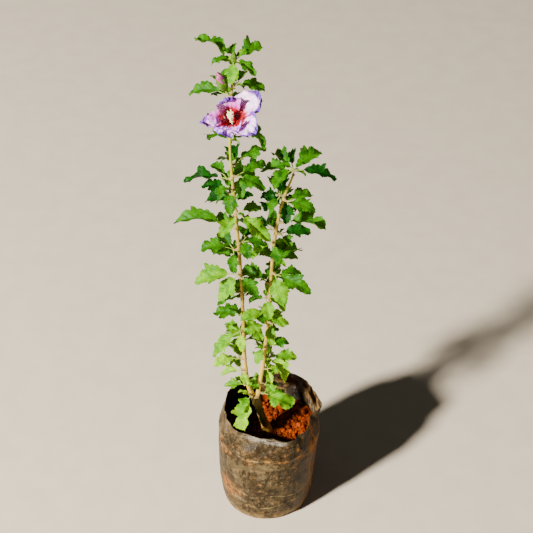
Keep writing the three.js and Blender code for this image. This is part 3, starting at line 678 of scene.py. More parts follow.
def leafColour(leaf, draw):  # 0 deep, 1 middle, 2 bright, 3 pale
    value = leafTint["least"] + leafTint["spread"] * draw.random() + leafTint["small"] * leaf["small"]
    # painted sunlight: paler tints at the top and front
    for amount, axis, sign, low, high in leafTint["ramps"]:
        value += amount * smoothStep(sign * leaf["end"][axis], low, high)
    return int(np.clip(value * 2.0, 0, 3))


def leafLook(nodes, colour, shade):
    uv = nodes.add("ShaderNodeTexCoord", output="UV")
    across, along = abs(nodes.axis(uv, "X") - 0.5), nodes.axis(uv, "Y")
    midrib = across.step(0.004, 0.02, (1.0, 0.0))
    lobeVein = abs(along - 0.03 - across * 1.22).step(0.0, 0.018, (1.0, 0.0))
    cross = abs(((along - across * 0.85) * 7.0).math("FRACT") - 0.5).step(0.0, 0.09, (0.55, 0.0))
    veins = (midrib + lobeVein + cross).math("MINIMUM", 1.0)
    place = nodes.place()
    fine = nodes.noise(place, 1.6)
    base = nodes.mix(nodes.noise(place, 9, 2.0).step(0.36, 0.6), shade, colour)
    veinColour = tuple(min(c * 1.5 + 0.01, 1) for c in colour)
    base = nodes.coats(base, (fine * 0.25, shade), (veins * leafForm["veinTint"], veinColour))
    return nodes.skin(base, fine * 0.2 + 0.36, fine * 0.4 - veins, 0.7, leafForm["gloss"])


leafTints = (
    ("leafDeep", (0.004, 0.06, 0.0005), (0.001, 0.022, 0.0005), (0.02, 0.22, 0.001)),
    ("leafMiddle", (0.035, 0.16, 0.0005), (0.008, 0.065, 0.0005), (0.14, 0.4, 0.001)),
    ("leafBright", (0.14, 0.35, 0.0005), (0.045, 0.18, 0.0005), (0.3, 0.58, 0.001)),
    ("leafPale", (0.3, 0.54, 0.0005), (0.13, 0.34, 0.0005), (0.38, 0.64, 0.001)),
)
leafPaints = [paint(name, leafLook, *colours, sheer=sheer, sheerShare=leafForm["sheerShare"])
              for name, *colours, sheer in leafTints]


def leafSheet(leaf, seed):
    return (*leafBlade(leaf, seed), leafColour(leaf, np.random.default_rng(seed + 77)))


for limb in ("left", "right"):
    own = [tuft for tuft in grown if tuft["limb"] == limb]
    blades = [leafSheet(leaf, 1000 * tuft["index"] + i)
              for tuft in own for i, leaf in enumerate(tuft["leaves"])]
    settle(makeSheets(limb + "Leaves", blades, leafPaints),
           [f"{limb}_leaves_{i + 1:02d}" for i in range(len(own))])


# Bark, twigs and leaf stalks; young and foot are colours with the heights where they begin and are full. On
# the trunk the foot colour is a painted sunlit patch
def barkLook(nodes, light, dark, scale, young=None, foot=None):
    place = nodes.place()
    height = nodes.axis(place, "Z")
    grain = nodes.noise(nodes.stretched(place, (1, 1, 0.3)), scale, 4.0, 0.6)
    spots = nodes.noise(place, 2.2, 2.0).step(0.58, 0.72)
    coats = [(nodes.noise(place, 22, 2.0).step(0.45, 0.7) * 0.5, dark)]
    if young:
        coats.append((height.step(*young[1:]) * 0.8, young[0]))
    # foot: a colour low down; on the trunk it is painted sunlight
    if foot:
        coats.append((height.step(*foot[1:]) * (1.2 - grain), foot[0]))
    coats.append((spots * 0.5, tuple(c * 0.35 for c in dark)))
    base = nodes.coats(nodes.mix(grain.step(0.35, 0.7), dark, light), *coats)
    return nodes.skin(base, grain * 0.3 + 0.6, grain, 0.5)


barks = {
    # the trunk's warm foot colour, full below 122 mm, is painted sunlight on the trunk's foot
    "trunk": paint("barkTrunk", barkLook, (0.353, 0.227, 0.056), (0.143, 0.101, 0.024), 3.2, None,
                       ((0.63, 0.269, 0.024), 133.0, 122.0)),
    "stem": paint("barkStem", barkLook, (0.43, 0.31, 0.02), (0.21, 0.13, 0.008), 2.4,
                      ((0.28, 0.29, 0.01), 400.0, 560.0), ((0.58, 0.39, 0.03), 330.0, 200.0)),
    "twig": paint("barkTwig", barkLook, (0.336, 0.286, 0.072), (0.185, 0.109, 0.032), 1.6),
    "stalk": paint("leafStalk", barkLook, (0.286, 0.403, 0.048), (0.202, 0.252, 0.032), 1.6),
}
barkForm = {
    "knot": (3.2, 0.16), "stemFeet": {"left": (-16, 0, 168), "right": (-13.4, 0, 168)},
    "trunkFoot": ([(0.5, 0, 106), (0.3, 0, 110)], [9.8, 9.6]), "dome": 0.45,
    "spurPlaces": (-0.9, -0.2, 0.05, 0.3, 0.45, 0.7, 0.85, 1.0, 1.08),
    "spurSwell": (1.7, 1.9, 1.6, 1.1, 1.25, 1.0, 1.2, 0.95, 0.3), "spurThick": 0.85, "spurTaper": 0.3,
    "stalkSwell": (1.5, 1.1, 0.95, 0.9, 0.9, 0.95, 0.6), "stalkRadii": (0.62, 0.42), "stalkInBlade": 0.03,
}


def stemLine(name):  # swells at each tuft, and starts inside the trunk
    points, radii = routeOf(limbs[name], ringsPerStretch["bark"])
    reach, swell = barkForm["knot"]
    heights = np.array([tuft["height"] for tuft in grown if tuft["limb"] == name])
    knots = np.exp(-((points[:, 2:] - heights) / reach) ** 2).max(axis=1)
    radii = radii * (1 + swell * knots)
    return np.vstack([barkForm["stemFeet"][name], points]), np.append(radii[0] * 0.95, radii)


def trunkLine():
    points, radii = routeOf(limbs["trunk"], ringsPerStretch["bark"])
    below, belowRadii = barkForm["trunkFoot"]
    angles = np.linspace(0, math.pi / 2, 5)[1:]
    dome = points[-1] - up * 1.5 + up * (radii[-1] * barkForm["dome"] * np.sin(angles))[:, None]
    return (np.vstack([below, points[:-3], dome]),
            np.concatenate([belowRadii, radii[:-3], radii[-1] * np.cos(angles) + 0.05]))


def spurLine(tuft):
    places = np.array(barkForm["spurPlaces"])
    thick = min(tuft["radius"], growth["spurRadius"]) * (1 - barkForm["spurTaper"] * np.clip(places, 0, 1))
    along = np.where(places < 0, places * tuft["radius"], places * tuft["length"])
    return tuft["root"] + tuft["way"] * along[:, None], thick * barkForm["spurSwell"] * barkForm["spurThick"]


def stalkLine(leaf):
    points, _, _ = onMidrib(leaf, np.linspace(0, 1, 7) * (leaf["bare"] + barkForm["stalkInBlade"]))
    return points, barkForm["stalkRadii"][leaf["small"]] * np.array(barkForm["stalkSwell"])


settle(tubes("trunkBark", [trunkLine()], barks["trunk"], 40, 1.0, 6.0), ["trunk"])
settle(tubes("stemBark", [stemLine("left"), stemLine("right")], barks["stem"], 22, 0.5, 4.0),
       ["left_stem", "right_stem"])
settle(tubes("twigs", [spurLine(tuft) for tuft in grown], barks["twig"], 10, 0.35, 2.0))
stalkLines = [stalkLine(leaf) for tuft in grown for leaf in tuft["leaves"]]
settle(tubes("leafStalks", stalkLines, barks["stalk"], 7, 0.0, 2.0))

# Bag: thin film, creased where the earth doesn't fill it
bagForm = {
    "profile": ((0, 55.5), (2, 58.5), (14, 61), (62, 65.5), (104, 66.8), (126, 66.4), (156, 62)),
    "rim": ((0, 67, 158), (22, 63, 159), (45, 64, 160), (76, 66, 163), (101, 57, 160), (148, 61, 157),
            (190, 60, 154), (217, 62, 152), (244, 55, 150), (270, 53, 149), (294, 62, 147), (318, 60, 148),
            (343, 54, 152)),
    "lean": (5, 2), "leanPower": 1.8, "height": 156, "crease": 126, "film": 0.7, "floor": 1.0, "sides": 300,
    "creases": ((121, 2.0, 1.4), (112, 1.8, -1.0), (47, 1.5, -1.6), (28, 1.8, 0.8)),
    "rings": (0, 0.8, 2, 4, 7, 10, 13, 16.5, 20, 25, 30, 36, 42, 48, 55, 62, 69, 76, 83, 90, 97, 104, 108,
              112, 115, 118, 121, 124, 127, 130),
    "looseRings": 15, "bead": 0.35, "footRings": (0.05, 0.5, 0.85, 0.97),
    "floorRings": (0.96, 0.8, 0.5, 0.05),
    "noises": (((1, 1, 0.35), 15, 2, 3.0), ((1, 1, 0.8), 26, 3, 9.0), ((1, 1, 1.4), 34, 2, 21.0),
               ((1, 1, 2.0), 18, 2, 40.0), ((1, 1, 0), 40, 2, 70.0)),
    "depths": (1.4, 0.5, 1.1, 1.7), "bulge": (11, 7), "wander": 6, "loose": (108, 136), "held": (0, 6),
}
bearings = np.arange(bagForm["sides"]) * 360 / bagForm["sides"]


def rimAt(bearing):  # radius and height of the rim, eased from crease to crease
    table = np.array(bagForm["rim"] + ((360, *bagForm["rim"][0][1:]),), float)
    index = np.searchsorted(table[:, 0], bearing, side="right") - 1
    share = smoothStep((bearing - table[index, 0]) / (table[index + 1, 0] - table[index, 0]), 0, 1)[..., None]
    return (table[index, 1:] * (1 - share) + table[index + 1, 1:] * share).T


rimRadii, rimHeights = rimAt(bearings)


def bagOutline(height):  # a ring of points at one height, or at one for each bearing
    profile = np.array(bagForm["profile"], float)
    angle = np.radians(bearings)
    heights = np.repeat(profile[:, 0][:, None], len(bearings), axis=1)
    heights[-1] = rimHeights
    creased = smoothStep(profile[:, 0], bagForm["crease"], bagForm["height"])[:, None]
    radius = profile[:, 1][:, None] * (1 - creased) + rimRadii * creased
    lean = (profile[:, 0] / bagForm["height"])[:, None] ** bagForm["leanPower"]
    xs = bagForm["lean"][0] * lean + radius * np.cos(angle)
    ys = bagForm["lean"][1] * lean + radius * np.sin(angle)
    return np.array([[np.interp(h, z, x), np.interp(h, z, y), h]
                     for h, z, x, y in zip(np.broadcast_to(height, len(bearings)), heights.T, xs.T, ys.T)])


def crumple(points):  # how far the film stands out or in, in mm
    z = points[:, 2]
    folds, ridges, dents, low, wander = (
        noiseAt(points * stretch, *row) for stretch, *row in bagForm["noises"])
    dent, ridge, swell, fold = bagForm["depths"]
    middle, spread = bagForm["bulge"]
    sharp = 1 - 2 * abs(ridges) - 0.4
    bulge = np.exp(-((z - middle) / spread) ** 2) * low
    creases = 0.0
    for height, width, depth in bagForm["creases"]:
        away = abs(z - height - bagForm["wander"] * wander)
        creases = creases + depth * np.exp(-away / width) * (0.7 + 0.6 * folds)
    loose = smoothStep(z, *bagForm["loose"]) * (fold * folds + sharp)
    return smoothStep(z, *bagForm["held"]) * (dents * dent + ridge * sharp + swell * bulge + creases + loose)


def pushed(ring, by):  # out from the bag's middle line
    return ring + unit(ring * [1, 1, 0]) * by[:, None]


def bagShell():  # up the outside, over the rim and down the inside
    film, low = bagForm["film"], bagForm["rings"]
    shares = np.linspace(0, 1, bagForm["looseRings"] + 1)[1:]
    high = [low[-1] + (rimHeights - low[-1]) * share for share in shares]
    rings = [(z, 0.0) for z in (*low, *high)] + [(high[-1] + bagForm["bead"], film / 2)]
    rings += [(z, film) for z in (*high[::-1], *low[:2:-1])]
    foot = bagOutline(0)
    rows = [foot * share for share in bagForm["footRings"]]
    for height, inset in rings:
        outline = bagOutline(height)
        rows.append(pushed(outline, crumple(outline) - inset))
    rows += [foot * share + up * bagForm["floor"] for share in bagForm["floorRings"]]
    faces = barrelFaces(len(rows), bagForm["sides"])
    outer = len(bagForm["footRings"]) + len(low) + len(high)
    slots = [int(k // bagForm["sides"] > outer) for k in range(len(faces) - 2)] + [0, 1]
    return np.vstack(rows), faces, slots


def filmLook(nodes):
    place = nodes.place()
    x, y, z = (nodes.axis(place, name) for name in "XYZ")
    broad = nodes.noise(place, 26)
    mottle = nodes.noise(place, 7, 5.0, 0.7)
    fine = nodes.noise(place, 1.4, 4.0, 0.7)
    streak = nodes.noise(nodes.stretched(place, (1, 1, 0.14)), 4.5, 4.0)
    level = nodes.noise(nodes.stretched(place, (0.25, 0.25, 1)), 3.5, 4.0)
    smear = nodes.noise(nodes.stretched(place, (0.6, 0.6, 1)), 9, 4.0, 0.65)
    drift = (nodes.noise(place, 34, 0.0) - 0.5) * 22.0
    dark = nodes.noise(place, 19, 2.0).step(0.5, 0.66) * 0.7
    dust = (broad * 0.45 + mottle * 0.35 + fine * 0.35).step(0.54, 0.72)
    scuff = (streak * 0.3 + level * 0.4 + fine * 0.3).step(0.53, 0.62)
    foot = z.step(20.0, 1.0) * mottle.step(0.35, 0.6)
    band = abs(z - 119.0 - (broad - 0.5) * 34.0).step(15.0, 2.0) * (smear * 0.7 + fine * 0.3).step(0.5, 0.6)
    mud = (streak * 0.35 + mottle * 0.65).step(0.53, 0.64) * smear.step(0.49, 0.62)
    corner = nodes.distance(place, (-50.0, -34.0, 46.0)).step(28.0, 5.0)
    corner = corner * (mottle * 0.5 + fine * 0.5).step(0.4, 0.58)
    seam = nodes.distance(nodes.stretched(place, (1, 1, 0)), (62.0, -26.0, 0.0)).step(20.0, 4.0)
    seam = seam * (streak * 0.6 + fine * 0.4).step(0.44, 0.6)
    orange = mud.math("MAXIMUM", corner).math("MAXIMUM", seam)
    # painted highlight: a pale streak just under the front rim
    rimHighlight = abs(z - 146.0 + x * 0.07).step(4.5, 0.5) * abs(x).step(34.0, 16.0) * y.step(-20.0, -45.0)
    rimHighlight = rimHighlight * (level * 0.6 + fine * 0.4).step(0.4, 0.6)
    lines = [abs(z - height - drift).step(width, 0.2) * (mottle * 0.6 + broad * 0.5).step(0.46, 0.66)
             for height, width in ((47.0, 1.6), (30.0, 1.2), (121.0, 1.3))]
    base = nodes.mix((mottle * 0.55 + fine * 0.45).step(0.36, 0.66), (0.0094, 0.0046, 0.0011),
                     (0.055, 0.037, 0.016))
    base = nodes.coats(
        base, (dark, (0.018, 0.012, 0.0046)), (dust * 0.5, (0.165, 0.118, 0.053)),
        (scuff * 0.35, (0.286, 0.22, 0.127)), (foot * 0.7, (0.299, 0.185, 0.065)),
        (band * 0.75, (0.37, 0.15, 0.027)), (orange * 0.75, (0.352, 0.121, 0.015)),
        (rimHighlight * 0.6, (0.374, 0.352, 0.286)), *[(line * 0.6, (0.317, 0.246, 0.107)) for line in lines])
    roughness = fine * 0.25 + (dust + orange + band) * 0.25 + 0.24
    return nodes.skin(base, roughness, mottle * 0.5 + fine * 0.35 + streak * 0.2, 1.2, 0.09)


def insideLook(nodes):
    place = nodes.place()
    x = nodes.axis(place, "X")
    mottle = nodes.noise(place, 9, 4.0, 0.65)
    fine = nodes.noise(place, 1.8, 4.0, 0.7)
    streak = nodes.noise(nodes.stretched(place, (1, 1, 0.3)), 6)
    patch = nodes.distance(nodes.stretched(place, (1, 1, 0.6)), (8.0, 62.0, 86.0)).step(34.0, 14.0)
    # the right flap's tan and orange-tan is painted sunlight on the right inner wall; the back patch is mud
    litFlap = x.step(46.0, 62.0)
    mudAndLitFlap = patch.math("MAXIMUM", litFlap) * (mottle * 0.7 + streak * 0.3).step(0.34, 0.52)
    warmMudAndFlapLight = ((mudAndLitFlap * streak.step(0.5, 0.66)) + litFlap * fine.step(0.5, 0.62) * 0.4).math("MINIMUM", 1.0)
    # painted shadow: near-black blotches on the inner wall
    shadowBlotch = nodes.noise(place, 17, 2.0).step(0.5, 0.57)
    # painted highlight: grey streaks on the black film at the right back
    greyHighlight = x.step(18.0, 34.0) * (streak * 0.6 + fine * 0.4).step(0.55, 0.66)
    base = nodes.coats(
        nodes.mix(fine.step(0.4, 0.7), (0.005, 0.005, 0.004), (0.02, 0.018, 0.014)),
        (mudAndLitFlap * 0.8, (0.17, 0.095, 0.025)), (warmMudAndFlapLight * 0.6, (0.2, 0.075, 0.012)),
        (shadowBlotch * 0.85, (0.008, 0.007, 0.005)), (greyHighlight * 0.5, (0.25, 0.23, 0.19)))
    return nodes.skin(base, fine * 0.25 + mudAndLitFlap * 0.3 + 0.3, mottle * 0.6 + fine * 0.4, 1.2, 0.25)


shellPoints, shellFaces, shellSlots = bagShell()
films = [paint("bagFilm", filmLook), paint("bagInside", insideLook)]
shell = makePiece("bagFilm", shellPoints, shellFaces, films, None, shellSlots)
settle(shell, ["grow_bag"])

# Earth: lumpy top with scattered clods, closed below
soilForm = {
    "level": 115, "depth": 1.2, "radius": 11, "slope": 10, "tilt": 0.07, "lump": 1.6, "rings": 70,
    "bottom": 100, "footRings": (0.05, 0.6, 1), "clearance": 0.6, "crack": (3.6, 0.08),
    "cracks": (11, 2, 60.0), "grit": ((2.2, 9, 3, 66.0), (0.7, 2.6, 2, 80.0)), "clods": (0.02, 0.93),
    "clod": {"Density": 75000.0, "Smallest": 0.0005, "Spread": 0.0034, "Seed": 4}, "clodGrain": 330.0,
    "clodRelief": 0.004,
}


def soilTop(x, y):
    seat = smoothStep(np.hypot(x, y), soilForm["radius"], soilForm["radius"] + soilForm["slope"])
    lumps = np.sin(x / 6.1 + 0.4) * np.cos(y / 5.3) + 0.7 * np.sin(x / 3.4 - y / 4.2 + 1)
    return soilForm["level"] - soilForm["depth"] + seat * (
        soilForm["depth"] + soilForm["tilt"] * x + soilForm["lump"] * lumps)


def earthMesh():
    pushes = [crumple(bagOutline(z)) for z in range(soilForm["bottom"], 125, 2)]
    least = np.min(pushes, axis=0) - bagForm["film"] - soilForm["clearance"]
    rim = pushed(bagOutline(soilForm["level"]), least)
    rows = [np.hstack([rim[:, :2] * share, np.full((len(rim), 1), soilForm["bottom"])])
            for share in soilForm["footRings"]]
    inner = [0.0] * len(rows)
    depth, width = soilForm["crack"]
    for share in np.linspace(1, 0.01, soilForm["rings"]) ** 0.9:
        flat = rim[:, :2] * share
        z = soilTop(flat[:, 0], flat[:, 1])
        points = np.column_stack([flat, z])
        z = z - depth * np.exp(-abs(noiseAt(points, *soilForm["cracks"])) / width)
        for amount, *row in soilForm["grit"]:
            z = z + amount * noiseAt(points, *row)
        rows.append(np.column_stack([flat, z]))
        inner.append(float(soilForm["clods"][0] < share < soilForm["clods"][1]))
    return np.vstack(rows), barrelFaces(len(rows), len(rim)), np.repeat(inner, len(rim))


def earthLook(nodes):
    place = nodes.place()
    grain = nodes.noise(place, 1.8, 4.0, 0.7)
    lump = nodes.noise(place, 6)
    x, y = nodes.axis(place, "X"), nodes.axis(place, "Y")
    # painted sunlight: the earth brighter towards the right and back, broken by lumps
    bright = ((x + y * 0.5 - 4.0) / 60.0 + lump * 0.9).step(0.4, 0.75)
    # painted shade: dark patches standing in for the shade of leaves
    leafShadePatch = nodes.noise(place, 13, 3.0, 0.6).step(0.46, 0.58)
    base = nodes.coats(
        nodes.mix(lump.step(0.35, 0.65), (0.041, 0.0047, 0.0008), (0.164, 0.025, 0.0008)),
        (bright * 0.9, (0.26, 0.04, 0.0)), (leafShadePatch * 0.8, (0.057, 0.0062, 0.0008)),
        (grain.step(0.5, 0.75) * 0.45, (0.131, 0.027, 0.008)))
    return nodes.skin(base, 0.95, grain + lump, 1.2, 0.1)


def clodTree():
    nodes, given = geometryTree("clods", {"Density": "Float", "Smallest": "Float", "Spread": "Float",
                                          "Seed": "Int"})
    ground, seed = given["Geometry"], given["Seed"]
    inner = nodes.add("GeometryNodeInputNamedAttribute", {"Name": "inner"}, data_type="FLOAT")
    crumbs = nodes.add("GeometryNodeDistributePointsOnFaces", {
        "Mesh": ground, "Selection": inner, "Density": given["Density"], "Seed": seed})
    lump = nodes.add("GeometryNodeMeshIcoSphere", {"Radius": 1.0, "Subdivisions": 2})
    chance = nodes.add("FunctionNodeRandomValue", {2: 0.0, 3: 1.0, "Seed": seed}, 1, data_type="FLOAT")
    spin = nodes.add("FunctionNodeRandomValue", {0: (0, 0, 0), 1: (6.28, 6.28, 6.28), "Seed": 7},
                     data_type="FLOAT_VECTOR")
    solid = nodes.add("GeometryNodeRealizeInstances", {"Geometry": nodes.add("GeometryNodeInstanceOnPoints", {
        "Points": crumbs, "Instance": lump, "Rotation": spin,
        "Scale": chance ** 4.0 * given["Spread"] + given["Smallest"]})})
    clods = roughened(nodes, solid, nodes.add("GeometryNodeInputPosition"), soilForm["clodGrain"], 2.0,
                      soilForm["clodRelief"])
    both = nodes.add("GeometryNodeJoinGeometry", {0: [ground, clods]})
    return endTree(nodes, both, given["Material"])


earthSkin = paint("redEarth", earthLook)
earthPoints, earthFaces, earthInner = earthMesh()
earth = makePiece("redEarth", earthPoints, earthFaces, [earthSkin])
earth.data.attributes.new("inner", "FLOAT", "POINT").data.foreach_set("value", earthInner)
settle(grownBy(earth, clodTree(), {**soilForm["clod"], "Material": earthSkin}), ["soil"])

# Flower: five petals round a column, with one value of each trait for each petal. cup: bend across;
# rollFrom and roll: where the tip rolls inward and how far; rim: violet at left, right and tip, partly the
# petal's own colour and partly painted shade on folded edges; white: the side it lies on and how much
petalForm = {
    "cup": (1.2, 3.0, 3.8, 1.6, 1.6), "rollFrom": (0.82, 0.62, 0.85, 0.76, 0.84),
    "roll": (25, 190, -25, -35, -20), "ruffle": (0.08, 0.07, 0.05, 0.1, 0.09),
    "waves": (3.5, 3.0, 2.5, 4.5, 3.5), "claw": (0.1, 0.13, 0.09, 0.14, 0.1),
    "eye": (0.54, 0.5, 0.6, 0.54, 0.56), "lean": (-0.04, -0.06, 0.04, 0, 0),
    "rim": ((1.0, 0.4, 1.1), (0.3, 0.3, 1.2), (0.5, 0.8, 1.2), (0.6, 0.6, 0.9), (0.4, 1.1, 1.0)),
    "pale": (0.95, 0.55, 0.6, 0.5, 0.85), "crumple": (0.9, 2.0, 1.7, 3.2, 1.3),
    "flush": (0.0, 0.9, 1.0, 0.2, 0.1), "white": ((0, 0.5), (1, 0.9), (1, 0.6), (0, 0), (0, 0.4)),
    "seed": (1, 2, 3, 4, 5),
}
petalShape = {  # spans: where along it a petal widens, narrows, rounds, flattens, ruffles and is full
    "spans": ((0.1, 0.66), (0.74, 1.04), (0.5, 1), (0.45, 0.95), (0.72, 1.0), (0.25, 0.7)),
    "half": 0.47, "narrowPower": 1.5, "pleat": 0.006, "pleats": 19,
}
petalForms = [dict(zip(petalForm, values)) for values in zip(*petalForm.values())]


def petalGrid(bend, form, rows=60, columns=45):
    along = np.linspace(0, 1, rows)[:, None]
    across = np.linspace(-1, 1, columns)[None, :]
    size, seed = bend["length"], form["seed"]
    widens, narrows, rounds, flattens, tip, full = (
        smoothStep(along, *span) for span in petalShape["spans"])
    half = form["claw"] + (petalShape["half"] - form["claw"]) * widens
    half = half * (1 - 0.5 * narrows ** petalShape["narrowPower"]) * bend["wide"]
    place = np.clip(along * 0.88 + 0.1 * (1 - across ** 2) * rounds, 0, 1)
    rollFrom, roll = form["rollFrom"], math.radians(form["roll"])
    point, side, normal = onMidrib(bend, np.minimum(place, rollFrom))
    tangent = np.cross(side, normal)
    angle = (np.clip((place - rollFrom) / (1 - rollFrom), 0, 1) * roll)[..., None]
    arc = (1 - rollFrom) * size / roll
    point = point + tangent * (arc * np.sin(angle)) + normal * (arc * (1 - np.cos(angle)))
    normal = normal * np.cos(angle) - tangent * np.sin(angle)
    cup = form["cup"] * (1 - 0.6 * flattens)
    turn = cup * half * across
    out, rise = np.sin(turn) / cup, (1 - np.cos(turn)) / cup
    edge = np.maximum(abs(across) ** 3, tip + 0 * across)
    sweep = form["waves"] * np.arctan2(across, 1.5 * (along - 0.35))
    ruffle = edge * (np.sin(sweep + 2.1 * seed) + 0.5 * np.sin(2.7 * sweep + seed))
    pleats = petalShape["pleat"] * np.sin(
        petalShape["pleats"] * across + 3 * np.sin(4 * along + seed)) * full
    flat = np.stack([along * size + 0 * across, half * across * size, 0 * along * across], axis=-1)
    flat = flat.reshape(-1, 3)
    crinkle = noiseAt(flat, 6.5, 3, 11.0 * seed).reshape(rows, columns) * (0.012 + 0.035 * edge)
    sharp = abs(noiseAt(flat, 4.2, 2, 7.0 * seed)).reshape(rows, columns) * (0.004 + 0.045 * edge)
    lift = (rise + form["ruffle"] * ruffle * full + pleats + form["crumple"] * (crinkle + sharp)) * size
    aside = (out + form["lean"] * along ** 2) * size
    points = point + side * aside[..., None] + normal * lift[..., None]
    uv = np.stack([0.5 + 0.5 * across + 0 * along, along + 0 * across], axis=-1)
    return points.reshape(-1, 3), uv.reshape(-1, 2), (rows, columns)


def petalLook(nodes, form):
    uv = nodes.add("ShaderNodeTexCoord", output="UV")
    u = nodes.axis(uv, "X") * 2.0 - 1.0
    along = nodes.axis(uv, "Y")
    place = nodes.place()
    fine = nodes.noise(place, 2.2, 2.0)
    broad = nodes.noise(place, 8)
    rays = nodes.noise(nodes.stretched(uv, (11, 1.0, 0)), 1.0)
    crumpled = abs(nodes.noise(place, 7.5, 1.0) - 0.5)
    paleness = (broad * 0.6 + rays * 0.4 + (form["pale"] - 0.5) * 0.4).step(0.4, 0.66)
    side, amount = form["white"]
    white = (u * side + 0.3).step(-0.2, 0.7) * along.step(0.4, 0.65) * amount
    # violet rims: partly the petal's own colour, partly painted shade where the edges fold and roll
    left, right, tip = form["rim"]
    rim = ((u * -1.0).step(0.5, 1.0) * left).math("MAXIMUM", u.step(0.5, 1.0) * right)
    rim = rim.math("MAXIMUM", along.step(0.7, 1.0) * tip)
    violet = (rim + (broad - 0.5) * 0.9 + (fine - 0.5) * 0.5).step(0.44, 0.82)
    # painted shade: violet lines along the crumples
    crease = crumpled.step(0.08, 0.01) * along.step(0.45, 0.7) * 0.32 * form["crumple"]
    flush = (along + (rays - 0.5) * 0.4).step(1.0, 0.66) * form["flush"]
    reach = along + (rays - 0.5) * 0.42 + abs(u) * 0.1 - form["eye"]
    base = nodes.coats(
        nodes.mix(paleness, (0.5, 0.2, 0.85), (0.95, 0.62, 1.0)), (white, (1.0, 0.7, 1.0)),
        (violet * 0.95, (0.06, 0.006, 0.27)), (crease.math("MINIMUM", 1.0), (0.2, 0.04, 0.5)),
        (flush * (1.0 - white * 0.8) * 0.8, (0.46, 0.06, 0.4)),
        (reach.step(0.24, -0.02) * 0.75, (0.5, 0.02, 0.25)),
        (reach.step(0.08, -0.03), (0.23, 0.0, 0.003)))
    height = rays * 0.5 + fine * 0.1 + crumpled.step(0.0, 0.3) * along.step(0.4, 0.8)
    return nodes.skin(base, fine * 0.15 + 0.5, height, 0.6, 0.16)


petals = [(*petalGrid(bend, form), k) for k, (bend, form) in enumerate(zip(petalBends, petalForms))]
petalPaints = [paint(f"petal{form['seed']}", petalLook, form, sheer=(0.7, 0.3, 0.8), sheerShare=0.06)
               for form in petalForms]
settle(makeSheets("petals", petals, petalPaints), ["flower"])


# Calyx, stalks and column
def plainLook(nodes, colour, dark, roughness, size=3.0):
    grain = nodes.noise(nodes.place(), size)
    base = nodes.mix(grain.step(0.3, 0.7), dark, colour)
    return nodes.skin(base, grain * 0.15 + roughness, grain, 0.25, 0.2)


calyxGreen = paint("calyxGreen", plainLook, (0.075, 0.17, 0.0005), (0.025, 0.075, 0.0005), 0.5)
columnCream = paint("columnCream", plainLook, (0.98, 0.93, 0.55), (0.93, 0.83, 0.4), 0.6, 1.2)
budPink = paint("budPink", plainLook, (0.34, 0.1, 0.2), (0.13, 0.012, 0.07), 0.3, 1.8)
calyxForm = [  # sepals, then bracts
    {"count": 5, "turn": 20, "length": 15, "width": 3.6, "start": 2.6, "flare": 4.2, "shape": (10, 7)},
    {"count": 7, "turn": 0, "length": 13, "width": 0.75, "start": 2.4, "flare": 6.5, "shape": (9, 4)},
]
columnForm = {
    "style": ((6, 12, 22), [1.5, 1.0, 0.9]), "core": ((17, 22, 25, 28.5, 32), [0.45, 0.6, 1.2, 2.2, 2.0]),
    "tip": ((29, 0, 0), (32, 0.8, 0), (34.5, 2.4, 10), (35, 3.6, 15)), "tipRadii": [0.4, 0.35, 0.35, 0.75],
    "anthers": {"Density": 650000.0, "Size": 0.0007, "Seed": 3}, "antherLift": 0.0011,
    "stalkRoot": (-1.2, 2.5),
}


def sepalGrid(form, turn):
    grid = []
    for v in np.linspace(0, 1, form["shape"][0]):
        half = form["width"] * math.sin(math.pi * (0.12 + 0.86 * v ** 0.8)) ** 0.8
        out = form["start"] + form["flare"] * v + 1.1 * math.sin(math.pi * v)
        for u in np.linspace(-1, 1, form["shape"][1]):
            spread = math.degrees(half * u / max(out, 1.2))
            grid.append(onFlower(0.5 + form["length"] * v, out * (1 + 0.04 * u * u), turn + spread))
    return np.array(grid), None, form["shape"], 0


sepals = [sepalGrid(form, 360 / form["count"] * k + form["turn"]) for form in calyxForm
          for k in range(form["count"])]
settle(makeSheets("calyx", sepals, [calyxGreen]))


def stalkFrom(height, bearing, knots, radii):  # a stalk that leaves the left stem and runs on through knots
    spring = springFrom("left", height, bearing)
    root, way = spring["root"], spring["way"]
    knots = [*(root + way * place for place in columnForm["stalkRoot"]), *knots]
    return routeOf({"points": knots, "radii": radii}, ringsPerStretch["stalk"])


flowerKnots = [between((springFrom("left", *flowerForm["stalk"])["root"], flowerBase), 0.6), onFlower(-6),
               onFlower(0.5), onFlower(2.5)]
budKnot = budForm["ends"][0] + unit(budForm["ends"][1] - budForm["ends"][0]) * 1.5
greenLines = [stalkFrom(*flowerForm["stalk"], flowerKnots, [1.7, 1.4, 1.2, 1.3, 2.2, 3.0]),
              stalkFrom(*budForm["stalk"], [budKnot], [1.4, 1.0, 1.3])]
settle(tubes("flowerStalks", greenLines, barks["stalk"], 12, 0.2, 2.0))

styleLines = [([onFlower(a) for a in columnForm["style"][0]], columnForm["style"][1])]
for k in range(5):
    tip = [onFlower(along, out, 72 * k + turn) for along, out, turn in columnForm["tip"]]
    styleLines.append((tip, columnForm["tipRadii"]))
settle(tubes("flowerStyles", styleLines, columnCream, 14, 0.1, 1.5))


